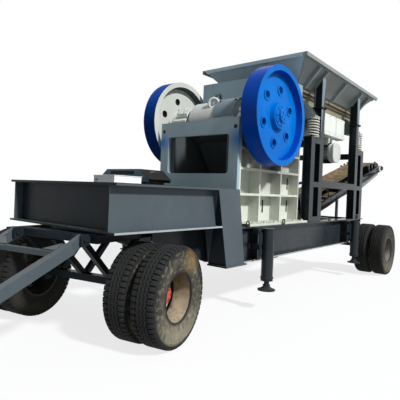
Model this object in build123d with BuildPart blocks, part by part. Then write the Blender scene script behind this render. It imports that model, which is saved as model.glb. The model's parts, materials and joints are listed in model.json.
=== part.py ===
# Mobile jaw crushing plant: a jaw crusher under a feed hopper and vibrating feeder, with its
# discharge conveyor, on a swan-necked trailer with a steered front bogie and four jacks.
# Millimetres. X runs from the drawbar to the conveyor head, Z is up, Y = 0 is the centreline,
# and the tyres stand on Z = 0. The near side is the -Y side.
from build123d import *
from math import asin, atan, cos, radians, sin, sqrt
import os

os.makedirs("parts", exist_ok=True)

# Fits and running clearances
journal_clearance = 0.05
jack_clearance = 0.5
running_gap = 10.0
turntable_gap = 0.3

# Deck at the front of the chassis
deck_length = 1560.0
deck_depth = 475.0
deck_top = 1611.0
chassis_half_width = 970.0
flange_width = 200.0
flange_thickness = 20.0
web_thickness = 12.0
deck_plate_thickness = 6.0
deck_cross_inset = 100.0
deck_cross_share = 0.487
motor_cross_share = 0.628
motor_cross_inset = 60.0
motor_cross_depth = 200.0
cross_flange_width = 140.0

# Swan neck down to the main beams
neck_top_length = 450.0
neck_setback = 214.0
neck_foot_length = 410.0
neck_width = 280.0
neck_foot_plate = 20.0
neck_foot_overhang = 25.0
haunch_clearance = 433.0
haunch_nose_depth = 151.0
haunch_toe_run = 49.0
haunch_inset = 370.0
haunch_plate = 24.0

# Main beams
beam_bottom = 650.0
beam_depth = 470.0
chassis_tail = 24.0
front_cross_setback = 76.0
light_cross_setback = 275.0
light_cross_width = 100.0
light_cross_depth = 90.0
belt_cross_clearance = 50.0
stiffener_thickness = 14.0
stiffener_inset = 10.0

# Front bogie, steered about its kingpin
kingpin_setback = 400.0
kingpin_radius = 45.0
steer_angle = 12.0
turntable_radius = 380.0
turntable_thickness = 16.0
bogie_half_length = 470.0
bogie_member = 80.0
bogie_tyre_clearance = 68.0
bogie_corner = 110.0
centre_plate_width = 240.0
brace_size = 60.0
brace_inset = 180.0
brace_foot_offset = 28.0
axle_width = 100.0
axle_depth = 80.0
axle_lift = 50.0
axle_end_gap = 40.0
knuckle_width = 70.0
hinge_reach = 74.0
hinge_inset = 100.0
hinge_drop = 42.0
hinge_pin_radius = 24.0
ear_thickness = 24.0
ear_half_size = 54.0
ear_corner = 12.0

# Drawbar
drawbar_length = 2180.0
drawbar_member = 100.0
drawbar_nose_half_width = 75.0
tongue_width = 60.0
tongue_length = 150.0
cross_bar_station = 290.0
cross_bar_width = 60.0
cross_bar_depth = 50.0
gusset_run = 115.0
gusset_reach = 150.0
gusset_thickness = 12.0
weld_sink = 4.0
arm_tip_gap = 60.0
nose_plate_run = 300.0
nose_plate_edge = 40.0
tow_eye_bore_radius = 38.0
tow_eye_radius = 75.0
tow_eye_thickness = 50.0
tow_eye_lift = 4.0

# Wheels
tyre_radius = 510.0
tyre_width = 262.0
dual_spacing = 320.0
rim_radius = 262.0
rim_wall = 14.0
bead_share = 0.82
bead_height = 40.0
shoulder_share = 0.9
sidewall_drop = 130.0
tread_share = 0.76
crown_drop = 12.0
crown_share = 0.5
disc_thickness = 16.0
disc_sink = 10.0
hub_half = 105.0
hub_cap = 30.0
spindle_gap = 12.0
hub_radius = 95.0
spindle_radius = 50.0
front_track = 2500.0
wheel_clearance = 28.0
rear_axle_lead = 148.0
saddle_length = 260.0
saddle_width = 120.0
saddle_inset = 30.0

# Jacks
front_jack_setback = 240.0
rear_jack_lead = 761.0
jack_offset = 1120.0
jack_tube_radius = 80.0
jack_tube_bottom = 400.0
jack_tube_top = 1090.0
jack_rod_radius = 36.0
jack_foot_radius = 120.0
jack_foot_bottom = 270.0
foot_edge = 14.0
foot_crown_inset = 40.0
collar_bottom = 52.0
collar_top = 76.0
jack_rod_drop = 200.0
jack_bore_top = 70.0
bracket_grip = 66.0
bracket_length = 190.0
bracket_lead = 150.0
bracket_depth = 60.0
upper_bracket_drop = 30.0
lower_bracket_drop = 240.0

# Crusher body
neck_crusher_gap = 100.0
crusher_length = 1900.0
crusher_base = beam_bottom + beam_depth
crusher_top = 2610.0
crusher_half_width = 733.0
chamber_half_width = 500.0
side_plate_thickness = 50.0
end_wall_thickness = 60.0
rib_thickness = 34.0
foot_thickness = 30.0
foot_half_width = 935.0
foot_inset = 40.0
window_half_width = 575.0
window_bottom = 1830.0
window_top = 2385.0
window_radius = 45.0
bolt_hole_radius = 30.0
bolt_edge = 55.0
low_bolt_height = 470.0
high_bolt_drop = 130.0
lower_rib_height = 1550.0
middle_rib_height = 1915.0
upper_rib_height = 2200.0
rib_share = 0.316
wide_rib_share = 0.655
slot_half_width = 32.0
slot_half_height = 105.0
side_step = 40.0
jaw_foot_height = 60.0
jaw_head_drop = 60.0
cheek_foot_height = 120.0
cheek_foot_run = 60.0

# Eccentric shaft, flywheel and pulley
shaft_setback = 618.0
shaft_height = 2690.0
throw = 12.0
journal_radius = 110.0
eccentric_radius = 150.0
wheel_seat_radius = 90.0
flywheel_radius = 712.0
flywheel_inner = 812.0
flywheel_width = 248.0
flywheel_rim = 78.0
flywheel_web = 46.0
flywheel_web_inset = 118.0
flywheel_hub_radius = 185.0
flywheel_hole_radius = 58.0
flywheel_hole_circle = 395.0
flywheel_hole_count = 6
hole_start_angle = 20.0
boss_wall = 22.0
boss_rise = 12.0
hub_taper = 20.0
hub_recess = 30.0
rim_taper = 26.0
groove_count = 8
groove_depth = 20.0
groove_margin = 18.0
groove_land = 3.0

# Bearing housings
housing_half_length = 330.0
housing_seat = 2450.0
housing_shoulder = 2760.0
housing_cap_radius = 232.0
housing_width = 270.0
housing_chamfer = 60.0
cap_bolt_reach = 268.0
cap_bolt_size = 54.0

# Pitman and jaws
pitman_half_width = 430.0
pitman_head_radius = 325.0
pitman_toe_height = 1290.0
pitman_toe_depth = 190.0
pitman_toe_inset = 20.0
pitman_rear_reach = 250.0
pitman_rear_drop = 60.0
pitman_brow_reach = 60.0
pitman_brow_rise = 250.0
lifting_eye_setback = 120.0
lifting_eye_rise = 40.0
lifting_eye_radius = 75.0
lifting_eye_bore = 42.0
lifting_eye_thickness = 40.0
jaw_toe_inset = 40.0
feed_opening = 600.0
discharge_opening = 110.0
jaw_plate_thickness = 90.0
jaw_half_width = 440.0
jaw_tooth_pitch = 88.0
jaw_tooth_depth = 32.0
cheek_thickness = 40.0
toggle_height = 1470.0
toggle_plate = 60.0
toggle_inset = 80.0
toggle_seat_setback = 120.0
toggle_seat_length = 240.0
toggle_seat_drop = 150.0
toggle_seat_rise = 110.0
pitman_lug_rear = 50.0
pitman_lug_front = 120.0
pitman_lug_half_height = 70.0
pitman_lug_inset = 60.0

# Hopper and feeder
hopper_setback = 1380.0
hopper_overhang = 510.0
hopper_half_width = 1020.0
hopper_top = 3830.0
hopper_rim_height = 62.0
hopper_rim_width = 58.0
hopper_throat_half_width = 700.0
hopper_throat = 3460.0
hopper_end_run = 400.0
hopper_plate = 12.0
hopper_rib_thickness = 60.0
hopper_rib_depth = 62.0
hood_setback = 1010.0
hood_notch = 110.0
hood_top = 3445.0
hood_plate = 14.0
trough_half_width = 610.0
trough_bottom = 2985.0
trough_top = 3400.0
trough_plate = 16.0
trough_overhang = 130.0
trough_setback = 260.0
grizzly_length = 820.0
grizzly_bar_count = 9
bar_top_half = 26.0
bar_foot_half = 14.0
bar_depth = 70.0
bar_tie_length = 60.0
bar_tie_depth = 40.0

# Support frames beside the crusher and feeder
post_size = 150.0
post_flange = 14.0
post_web = 12.0
post_outer = 940.0
short_post_top = 2560.0
post_foot_gap = 30.0
front_pair_pitch = 360.0
tall_post_bay = 1830.0
rear_pair_pitch = 345.0
rail_bottom = 1720.0
rail_depth = 120.0
batten_depth = 90.0
cap_plate = 18.0
spring_radius = 108.0
spring_wire = 15.0
spring_turns = 8
spring_drop = 60.0
front_spring_shift = 30.0
rear_spring_shift = 50.0
seat_half_length = 116.0
seat_plate = 20.0
seat_edge = 5.0
seat_gusset = 14.0
seat_gusset_pitch = 100.0
seat_gusset_height = 310.0
tie_half_length = 45.0
tie_depth = 120.0
tie_drop = 40.0
tie_setback = 20.0

# Exciter and its motor
exciter_height = 400.0
exciter_bottom = 2735.0
exciter_outer = 780.0
exciter_shares = (0.35, 0.257)
exciter_gap = 40.0
exciter_bay_share = 0.214
exciter_tube_radius = 95.0
exciter_tube_height = 125.0
feeder_motor_radius = 205.0
feeder_motor_bay_share = 0.607
feeder_motor_height = 2440.0
feeder_motor_length = 560.0
feeder_shaft_radius = 72.0
feeder_shaft_length = 90.0
motor_foot_width = 240.0
motor_foot_length = 300.0
motor_foot_setback = 120.0
motor_foot_sink = 30.0

# Discharge conveyor
overall_length = 12276.0
conveyor_tail_setback = 740.0
hanger_height = 730.0
hanger_length = 100.0
hanger_depth = 70.0
conveyor_tail_height = 600.0
conveyor_head_height = 2425.0
pulley_radius = 150.0
pulley_half_width = 345.0
pulley_shaft_radius = 40.0
belt_thickness = 12.0
belt_width = 650.0
conveyor_half_width = 400.0
channel_depth = 150.0
channel_flange = 55.0
channel_plate = 9.0
channel_tie_count = 4
channel_tie_width = 50.0
channel_tie_depth = 80.0
head_strut = 60.0
head_strut_setback = 420.0
leg_length = 80.0
leg_width = 40.0
roller_radius = 52.0
roller_shaft_radius = 14.0
roller_pitch = 900.0

# Machines on the deck
motor_radius = 190.0
motor_length = 760.0
motor_axis_height = 1610.0
motor_shaft_length = 110.0
motor_shaft_radius = 48.0
motor_foot_drop = 40.0
motor_foot_rise = 60.0
motor_rail_width = 80.0
rail_spread = 150.0
motor_offset = 160.0
cabinet_size = (392.0, 360.0, 86.0)
cabinet_station = 450.0
cabinet_offset = -210.0

# Stations along the chassis, measured from the nose of the deck
deck_cross_stations = (deck_cross_inset, deck_length * deck_cross_share)
deck_plate_length = deck_cross_stations[1] + flange_width / 2
motor_cross_stations = (deck_length * motor_cross_share, deck_length - motor_cross_inset)
motor_station = (motor_cross_stations[0] + motor_cross_stations[1]) / 2
crusher_station = deck_length + neck_setback + neck_foot_length + neck_crusher_gap
front_cross_station = crusher_station + front_cross_setback
front_jack_station = crusher_station + front_jack_setback
conveyor_tail_station = crusher_station + conveyor_tail_setback
front_short_post_station = crusher_station + crusher_length - foot_inset + post_foot_gap + post_size / 2
front_tall_post_station = front_short_post_station + front_pair_pitch
rear_tall_post_station = front_tall_post_station + tall_post_bay
rear_short_post_station = rear_tall_post_station + rear_pair_pitch
light_cross_station = front_short_post_station + light_cross_setback
exciter_station = front_tall_post_station + tall_post_bay * exciter_bay_share
feeder_motor_station = front_tall_post_station + tall_post_bay * feeder_motor_bay_share
chassis_length = rear_short_post_station + post_size / 2 + chassis_tail
rear_axle_station = chassis_length - rear_axle_lead
rear_jack_station = rear_axle_station - rear_jack_lead
hopper_length = rear_short_post_station + hopper_overhang - crusher_station - hopper_setback

# Positions that follow from the sizes above
deck_bottom = deck_top - deck_depth
turntable_top = deck_bottom
turntable_face = turntable_top - turntable_thickness
bogie_top = turntable_face - turntable_gap - turntable_thickness
bogie_bottom = bogie_top - bogie_member
bogie_half_width = front_track / 2 - tyre_width - dual_spacing - bogie_tyre_clearance - bogie_member / 2
brace_spread = bogie_half_width - brace_inset
hinge_half_spread = bogie_half_width - hinge_inset
hinge_z = bogie_top - hinge_drop
axle_z = tyre_radius
axle_bottom = axle_z + axle_lift - axle_depth / 2
axle_top = axle_bottom + axle_depth
rear_track = 2 * (chassis_half_width + wheel_clearance + dual_spacing + tyre_width)

steer = radians(steer_angle)
eye_arm = drawbar_length + tow_eye_radius
drop = asin((hinge_z - tow_eye_lift) / sqrt(eye_arm ** 2 + (tow_eye_thickness / 2) ** 2))
drop -= atan(tow_eye_thickness / 2 / eye_arm)
hinge_distance = bogie_half_length + bogie_member / 2 + hinge_reach
eye_half_span = tow_eye_radius * sqrt((cos(steer) * cos(drop)) ** 2 + sin(steer) ** 2)
eye_half_span += tow_eye_thickness / 2 * sin(drop) * cos(steer)
front_reach = (hinge_distance + drawbar_length * cos(drop)) * cos(steer) + eye_half_span
kingpin_x = front_reach - overall_length / 2
nose_x = kingpin_x - kingpin_setback
tail_end_x = overall_length / 2

deck_end_x = nose_x + deck_length
neck_foot_x = deck_end_x + neck_setback
neck_rear_x = neck_foot_x + neck_foot_length
chassis_end_x = nose_x + chassis_length
beam_top = beam_bottom + beam_depth
beam_y = chassis_half_width - flange_width / 2

rear_axle_x = nose_x + rear_axle_station

crusher_x = nose_x + crusher_station
crusher_end_x = crusher_x + crusher_length
shaft_x = crusher_x + shaft_setback
fixed_jaw_x = crusher_end_x - end_wall_thickness - jaw_plate_thickness
jaw_top = crusher_top - jaw_head_drop
side_outer = chamber_half_width + side_plate_thickness

hopper_x = crusher_x + hopper_setback
hopper_end_x = hopper_x + hopper_length
hood_x = crusher_x + hood_setback

conveyor_tail_x = nose_x + conveyor_tail_station
conveyor_head_x = tail_end_x - pulley_radius - belt_thickness
conveyor_run = conveyor_head_x - conveyor_tail_x
conveyor_rise = conveyor_head_height - conveyor_tail_height
conveyor_length = sqrt(conveyor_run ** 2 + conveyor_rise ** 2)
conveyor_slope = conveyor_rise / conveyor_run
belt_drop = (pulley_radius + belt_thickness) * conveyor_length / conveyor_run
middle_cross_rise = beam_top + belt_cross_clearance + belt_drop - conveyor_tail_height
middle_cross_x = conveyor_tail_x + middle_cross_rise / conveyor_slope + cross_flange_width / 2

# Planes that carry the steered bogie, the sloping drawbar and the rising conveyor
bogie = Plane(origin=(kingpin_x, 0, 0), x_dir=(cos(steer), sin(steer), 0), z_dir=(0, 0, 1))


def bogie_point(x, y, z):
    return bogie.from_local_coords(Vector(x, y, z))


drawbar_forward = bogie_point(-cos(drop), 0, -sin(drop)) - bogie_point(0, 0, 0)
drawbar_up = bogie_point(-sin(drop), 0, cos(drop)) - bogie_point(0, 0, 0)
drawbar_plane = Plane(
    origin=bogie_point(-hinge_distance, 0, hinge_z), x_dir=drawbar_forward, z_dir=drawbar_up
)
conveyor_along = Vector(conveyor_run, 0, conveyor_rise).normalized()
conveyor_up = Vector(-conveyor_rise, 0, conveyor_run).normalized()
conveyor_plane = Plane(
    origin=(conveyor_tail_x, 0, conveyor_tail_height), x_dir=conveyor_along, z_dir=conveyor_up
)


# Shapes that several pieces share
def i_section(width, depth, flange, web):
    Rectangle(width, depth)
    for side in (-1, 1):
        with Locations((side * (width + web) / 4, 0)):
            Rectangle((width - web) / 2, depth - 2 * flange, mode=Mode.SUBTRACT)


def strut(start, end, width, depth):
    start = Vector(start)
    run = Vector(end) - start
    across = Vector(0, 0, 1).cross(run)
    if across.length < 1e-6:
        across = Vector(0, 1, 0)
    with BuildSketch(Plane(origin=start, x_dir=across, z_dir=run)) as outline:
        Rectangle(width, depth)
    extrude(outline.sketch, amount=run.length)


def side_plane(y):
    return Plane(origin=(0, y, 0), x_dir=(1, 0, 0), z_dir=(0, -1, 0))


def station_plane(x):
    return Plane(origin=(x, 0, 0), x_dir=(0, 1, 0), z_dir=(1, 0, 0))


def slab(x0, x1, y0, y1, z0, z1, mode=Mode.ADD):
    with Locations(((x0 + x1) / 2, (y0 + y1) / 2, (z0 + z1) / 2)):
        Box(x1 - x0, y1 - y0, z1 - z0, mode=mode)


def across_axle(plane, y0, y1, z, radius, x=0, mode=Mode.ADD):
    middle = plane.from_local_coords(Vector(x, (y0 + y1) / 2, z))
    axis_plane = Plane(origin=middle, x_dir=plane.x_dir, z_dir=plane.y_dir)
    with BuildSketch(axis_plane) as outline:
        Circle(radius)
    extrude(outline.sketch, amount=(y1 - y0) / 2, both=True, mode=mode)


neck_outline = [
    (deck_end_x, deck_top),
    (deck_end_x + neck_top_length, deck_top),
    (neck_rear_x, beam_bottom),
    (neck_foot_x, beam_bottom),
]

# Deck side beams, cut back on the slope of the swan neck
with BuildPart() as deck_beams:
    with BuildSketch(station_plane(nose_x)):
        with Locations((beam_y, deck_top - deck_depth / 2)):
            i_section(flange_width, deck_depth, flange_thickness, web_thickness)
    extrude(amount=deck_length + neck_setback)
    with BuildSketch(side_plane(0)):
        Polygon(*neck_outline, align=None)
    extrude(amount=-2 * chassis_half_width, mode=Mode.SUBTRACT)
    with BuildSketch(side_plane(0)):
        Polygon(
            (deck_end_x, deck_top), (neck_foot_x, beam_bottom), (neck_rear_x, beam_bottom),
            (neck_rear_x, deck_top), align=None,
        )
    extrude(amount=-2 * chassis_half_width, mode=Mode.SUBTRACT)
    mirror(about=Plane.XZ)
deck_beams.part.label = "deck_beams"
export_step(deck_beams.part, "parts/deck_beams.step")

# Deck cross beams, coped into the side beams
with BuildPart() as deck_cross_beams:
    for station in deck_cross_stations:
        with BuildSketch(Plane(origin=(nose_x + station, 0, 0), x_dir=(-1, 0, 0), z_dir=(0, 1, 0))):
            with Locations((0, deck_top - deck_depth / 2)):
                i_section(flange_width, deck_depth, flange_thickness, web_thickness)
        extrude(amount=beam_y - web_thickness / 2, both=True)
    for station in motor_cross_stations:
        with BuildSketch(Plane(origin=(nose_x + station, 0, 0), x_dir=(-1, 0, 0), z_dir=(0, 1, 0))):
            with Locations((0, deck_bottom + motor_cross_depth / 2)):
                i_section(cross_flange_width, motor_cross_depth, flange_thickness, web_thickness)
        extrude(amount=beam_y - web_thickness / 2, both=True)
    for side in (-1, 1):
        for height in (deck_top - flange_thickness, deck_bottom):
            slab(
                nose_x, chassis_end_x, side * beam_y - flange_width / 2, side * beam_y + flange_width / 2,
                height, height + flange_thickness, mode=Mode.SUBTRACT,
            )
deck_cross_beams.part.label = "deck_cross_beams"
export_step(deck_cross_beams.part, "parts/deck_cross_beams.step")

# Deck plate over the front bays
with BuildPart() as deck_plate:
    slab(
        nose_x, nose_x + deck_plate_length, -chassis_half_width, chassis_half_width,
        deck_top, deck_top + deck_plate_thickness,
    )
deck_plate.part.label = "deck_plate"
export_step(deck_plate.part, "parts/deck_plate.step")

# Swan necks: sloping box posts on foot plates
with BuildPart() as swan_necks:
    with BuildSketch(side_plane(-chassis_half_width)):
        Polygon(*neck_outline, align=None)
    extrude(amount=-neck_width)
    slab(
        neck_foot_x - neck_foot_overhang, neck_rear_x + neck_foot_overhang,
        -chassis_half_width - neck_foot_overhang, -chassis_half_width + neck_width,
        beam_bottom - neck_foot_plate, beam_bottom,
    )
    mirror(about=Plane.XZ)
swan_necks.part.label = "swan_necks"
export_step(swan_necks.part, "parts/swan_necks.step")

# Haunches: deep plates inboard of the necks, from under the deck to the first cross beam
haunch_nose_x = kingpin_x + haunch_clearance
haunch_end_x = nose_x + front_cross_station - cross_flange_width / 2
haunch_step_x = nose_x + motor_cross_stations[1] + cross_flange_width / 2
haunch_face = chassis_half_width - haunch_inset + haunch_plate / 2
with BuildPart() as haunches:
    with BuildSketch(side_plane(-haunch_face)):
        Polygon(
            (haunch_nose_x, deck_bottom), (haunch_nose_x, deck_bottom - haunch_nose_depth),
            (neck_foot_x + haunch_toe_run, beam_bottom), (haunch_end_x, beam_bottom),
            (haunch_end_x, beam_top), (haunch_step_x, beam_top), (haunch_step_x, deck_bottom), align=None,
        )
    extrude(amount=-haunch_plate)
    mirror(about=Plane.XZ)
haunches.part.label = "haunches"
export_step(haunches.part, "parts/haunches.step")

# Main beams with web stiffeners at the jacks and under the short posts
with BuildPart() as main_beams:
    with BuildSketch(station_plane(neck_foot_x)):
        with Locations((beam_y, beam_bottom + beam_depth / 2)):
            i_section(flange_width, beam_depth, flange_thickness, web_thickness)
    extrude(amount=chassis_end_x - neck_foot_x)
    for station in (front_jack_station, rear_jack_station, rear_short_post_station):
        slab(
            nose_x + station - stiffener_thickness / 2, nose_x + station + stiffener_thickness / 2,
            beam_y, beam_y + flange_width / 2 - stiffener_inset,
            beam_bottom + flange_thickness / 2, beam_top - flange_thickness / 2,
        )
    with BuildSketch(side_plane(0)):
        Polygon(
            (neck_foot_x - neck_setback, beam_bottom - 1), (neck_rear_x, beam_bottom - 1),
            (neck_rear_x, beam_bottom), (deck_end_x + neck_top_length, deck_top),
            (neck_foot_x - neck_setback, deck_top), align=None,
        )
    extrude(amount=-2 * chassis_half_width, mode=Mode.SUBTRACT)
    mirror(about=Plane.XZ)
main_beams.part.label = "main_beams"
export_step(main_beams.part, "parts/main_beams.step")

# Chassis cross beams, below and behind the run of the conveyor
cross_reach = beam_y - web_thickness / 2
leg_x = nose_x + rear_short_post_station
light_cross_x = nose_x + light_cross_station
with BuildPart() as chassis_cross_beams:
    for x in (nose_x + front_cross_station, middle_cross_x, leg_x):
        with BuildSketch(Plane(origin=(x, 0, 0), x_dir=(-1, 0, 0), z_dir=(0, 1, 0))):
            with Locations((0, beam_bottom + beam_depth / 2)):
                i_section(cross_flange_width, beam_depth, flange_thickness, web_thickness)
        extrude(amount=cross_reach, both=True)
    slab(
        light_cross_x - light_cross_width / 2, light_cross_x + light_cross_width / 2,
        -cross_reach, cross_reach, beam_bottom, beam_bottom + light_cross_depth,
    )
    for side in (-1, 1):
        for height in (beam_top - flange_thickness, beam_bottom):
            slab(
                nose_x, chassis_end_x, side * beam_y - flange_width / 2, side * beam_y + flange_width / 2,
                height, height + flange_thickness, mode=Mode.SUBTRACT,
            )
chassis_cross_beams.part.label = "chassis_cross_beams"
export_step(chassis_cross_beams.part, "parts/chassis_cross_beams.step")

# Kingpin plate: the upper turntable ring under the deck, with the pin
with BuildPart() as kingpin_plate:
    with Locations((kingpin_x, 0, turntable_top - turntable_thickness / 2)):
        Cylinder(turntable_radius, turntable_thickness)
    with Locations((kingpin_x, 0, (bogie_bottom + turntable_face) / 2)):
        Cylinder(kingpin_radius, turntable_face - bogie_bottom)
kingpin_plate.part.label = "kingpin_plate"
export_step(kingpin_plate.part, "parts/kingpin_plate.step")

# Crusher sides: thick plates with a grid of ribs on the outside, on a wide foot
rib_heights = (lower_rib_height, middle_rib_height, upper_rib_height)
rib_stations = (
    end_wall_thickness, crusher_length * rib_share, crusher_length * wide_rib_share,
    crusher_length - rib_thickness,
)


def crusher_side():
    with BuildSketch(side_plane(-side_outer)) as outline:
        Polygon(
            (crusher_x + end_wall_thickness, crusher_base), (crusher_end_x, crusher_base),
            (crusher_end_x, crusher_top), (shaft_x + housing_half_length, crusher_top),
            (shaft_x + housing_half_length, housing_seat), (shaft_x - housing_half_length, housing_seat),
            (shaft_x - housing_half_length, crusher_top - side_step),
            (crusher_x + end_wall_thickness, crusher_top - side_step),
            align=None,
        )
    extrude(outline.sketch, amount=-side_plate_thickness)
    slab(
        crusher_x + end_wall_thickness, crusher_end_x - foot_inset, -foot_half_width, -chamber_half_width,
        crusher_base, crusher_base + foot_thickness,
    )
    for height in rib_heights:
        slab(
            crusher_x + end_wall_thickness, crusher_end_x, -crusher_half_width, -side_outer,
            height - rib_thickness / 2, height + rib_thickness / 2,
        )
    for station in rib_stations:
        slab(
            crusher_x + station, crusher_x + station + rib_thickness,
            -crusher_half_width, -side_outer, crusher_base, housing_seat,
        )
    slot_x = crusher_x + rib_stations[2] + 0.42 * (rib_stations[3] - rib_stations[2])
    lower_slot_x = crusher_x + rib_stations[1] + 0.2 * (rib_stations[2] - rib_stations[1])
    levels = (crusher_base + foot_thickness, *rib_heights)
    slots = [(slot_x, (low + high) / 2) for low, high in zip(levels, levels[1:])]
    slots.append((lower_slot_x, (levels[0] + levels[1]) / 2))
    for x, z in slots:
        slab(
            x, x + 2 * slot_half_width, -side_outer, -chamber_half_width,
            z - slot_half_height, z + slot_half_height, mode=Mode.SUBTRACT,
        )


with BuildPart() as crusher_side_near:
    crusher_side()
crusher_side_near.part.label = "crusher_side_near"
export_step(crusher_side_near.part, "parts/crusher_side_near.step")

with BuildPart() as crusher_side_far:
    crusher_side()
    mirror(about=Plane.XZ)
    slab(
        crusher_x - 10, crusher_end_x + 10, -chassis_half_width, 0,
        crusher_base - 10, crusher_top + 10, mode=Mode.SUBTRACT,
    )
crusher_side_far.part.label = "crusher_side_far"
export_step(crusher_side_far.part, "parts/crusher_side_far.step")

# Back wall behind the pitman, with its round-cornered window and bolt holes
with BuildPart() as crusher_back_wall:
    with BuildSketch(station_plane(crusher_x)):
        with Locations((0, (crusher_base + crusher_top) / 2)):
            Rectangle(2 * crusher_half_width, crusher_top - crusher_base)
        with Locations((0, (window_bottom + window_top) / 2)):
            RectangleRounded(
                2 * window_half_width, window_top - window_bottom, window_radius, mode=Mode.SUBTRACT,
            )
        for y in (-1, 1):
            for z in (crusher_base + low_bolt_height, crusher_top - high_bolt_drop):
                with Locations((y * (crusher_half_width - bolt_edge), z)):
                    Circle(bolt_hole_radius, mode=Mode.SUBTRACT)
    extrude(amount=end_wall_thickness)
crusher_back_wall.part.label = "crusher_back_wall"
export_step(crusher_back_wall.part, "parts/crusher_back_wall.step")

# Front wall that backs the fixed jaw
with BuildPart() as crusher_front_wall:
    slab(
        crusher_end_x - end_wall_thickness, crusher_end_x, -chamber_half_width, chamber_half_width,
        crusher_base, crusher_top,
    )
crusher_front_wall.part.label = "crusher_front_wall"
export_step(crusher_front_wall.part, "parts/crusher_front_wall.step")


def jaw_teeth(count_half_width):
    teeth = int(2 * count_half_width / jaw_tooth_pitch)
    return [(i - (teeth - 1) / 2) * jaw_tooth_pitch for i in range(teeth)]


# Fixed jaw plate, corrugated from top to bottom
with BuildPart() as fixed_jaw_plate:
    slab(
        fixed_jaw_x + jaw_tooth_depth, fixed_jaw_x + jaw_plate_thickness, -jaw_half_width, jaw_half_width,
        crusher_base + jaw_foot_height, jaw_top,
    )
    with BuildSketch(Plane.XY.offset(crusher_base + jaw_foot_height)):
        for y in jaw_teeth(jaw_half_width):
            Polygon(
                (fixed_jaw_x, y), (fixed_jaw_x + jaw_tooth_depth, y + jaw_tooth_pitch / 2),
                (fixed_jaw_x + jaw_tooth_depth, y - jaw_tooth_pitch / 2), align=None,
            )
    extrude(amount=jaw_top - crusher_base - jaw_foot_height)
fixed_jaw_plate.part.label = "fixed_jaw_plate"
export_step(fixed_jaw_plate.part, "parts/fixed_jaw_plate.step")

# Pitman face line, from the feed opening down to the discharge opening
face_top_x = fixed_jaw_x - feed_opening
face_toe_x = fixed_jaw_x - discharge_opening
face_run = Vector(face_toe_x - face_top_x, 0, pitman_toe_height - jaw_top)
face_normal = Vector(-face_run.Z, 0, face_run.X).normalized()
face_down = face_run.normalized()


def face_point(down, back):
    point = Vector(face_top_x, 0, jaw_top) + face_down * down - face_normal * back
    return (point.X, point.Z)


# Cheek plates that line the chamber
with BuildPart() as cheek_plates:
    with BuildSketch(side_plane(-chamber_half_width + cheek_thickness)):
        Polygon(
            face_point(0, -jaw_tooth_depth), (fixed_jaw_x, jaw_top),
            (fixed_jaw_x, crusher_base + cheek_foot_height),
            (face_toe_x - cheek_foot_run, crusher_base + cheek_foot_height), align=None,
        )
    extrude(amount=cheek_thickness)
    mirror(about=Plane.XZ)
cheek_plates.part.label = "cheek_plates"
export_step(cheek_plates.part, "parts/cheek_plates.step")

# Bearing housings: split blocks with round caps and bolted shoulders
with BuildPart() as bearing_housings:
    with BuildSketch(side_plane(-chamber_half_width)) as outline:
        with Locations((shaft_x, (housing_seat + housing_shoulder) / 2)):
            Rectangle(2 * housing_half_length, housing_shoulder - housing_seat)
        chamfer(outline.vertices().group_by(Axis.Y)[-1], housing_chamfer)
        with Locations((shaft_x, shaft_height)):
            Circle(housing_cap_radius)
            Circle(journal_radius + journal_clearance, mode=Mode.SUBTRACT)
    extrude(amount=housing_width)
    with BuildSketch(side_plane(-chamber_half_width)):
        for side in (-1, 1):
            with Locations((shaft_x + side * cap_bolt_reach, housing_shoulder + cap_bolt_size / 2)):
                Rectangle(cap_bolt_size, cap_bolt_size)
    extrude(amount=housing_width - housing_chamfer)
    mirror(about=Plane.XZ)
bearing_housings.part.label = "bearing_housings"
export_step(bearing_housings.part, "parts/bearing_housings.step")

# Eccentric shaft, stored with its throw at the bottom
eccentric_z = shaft_height - throw
shaft_end = flywheel_inner + flywheel_width
with BuildPart() as eccentric_shaft:
    across_axle(Plane.XY, -shaft_end, shaft_end, shaft_height, wheel_seat_radius, x=shaft_x)
    across_axle(
        Plane.XY, -flywheel_inner, flywheel_inner, shaft_height, journal_radius, x=shaft_x,
    )
    across_axle(
        Plane.XY, -pitman_half_width - running_gap, pitman_half_width + running_gap, eccentric_z,
        eccentric_radius, x=shaft_x,
    )
eccentric_shaft.part.label = "eccentric_shaft"
export_step(eccentric_shaft.part, "parts/eccentric_shaft.step")

wheel_outer = flywheel_inner + flywheel_width
web_middle = wheel_outer - flywheel_web_inset


def wheel_profile(rim_points):
    outer = flywheel_inner + flywheel_width
    rim_inner = flywheel_radius - flywheel_rim
    hub_root = flywheel_hub_radius + hub_taper
    rim_root = rim_inner - rim_taper
    web_in = web_middle - flywheel_web / 2
    web_out = web_middle + flywheel_web / 2
    Polygon(
        (wheel_seat_radius, flywheel_inner), (flywheel_hub_radius, flywheel_inner), (hub_root, web_in),
        (rim_root, web_in), (rim_inner, flywheel_inner), *rim_points, (rim_inner, outer),
        (rim_root, web_out), (hub_root, web_out), (flywheel_hub_radius, outer - hub_recess),
        (wheel_seat_radius, outer - hub_recess), align=None,
    )


def wheel_holes(side):
    face = Plane(origin=(shaft_x, side * web_middle, shaft_height), x_dir=(1, 0, 0), z_dir=(0, side, 0))
    with BuildSketch(face) as outline:
        with PolarLocations(flywheel_hole_circle, flywheel_hole_count, start_angle=hole_start_angle):
            Circle(flywheel_hole_radius + boss_wall)
    extrude(outline.sketch, amount=flywheel_web / 2 + boss_rise)
    with BuildSketch(face) as outline:
        with PolarLocations(flywheel_hole_circle, flywheel_hole_count, start_angle=hole_start_angle):
            Circle(flywheel_hole_radius)
    extrude(outline.sketch, amount=flywheel_web, both=True, mode=Mode.SUBTRACT)


near_wheel_plane = Plane(origin=(shaft_x, 0, shaft_height), x_dir=(1, 0, 0), z_dir=(0, 0, 1))
near_profile = Plane(origin=(shaft_x, 0, shaft_height), x_dir=(1, 0, 0), z_dir=(0, 0, -1))
shaft_axis = Axis((shaft_x, 0, shaft_height), (0, 1, 0))

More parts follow.
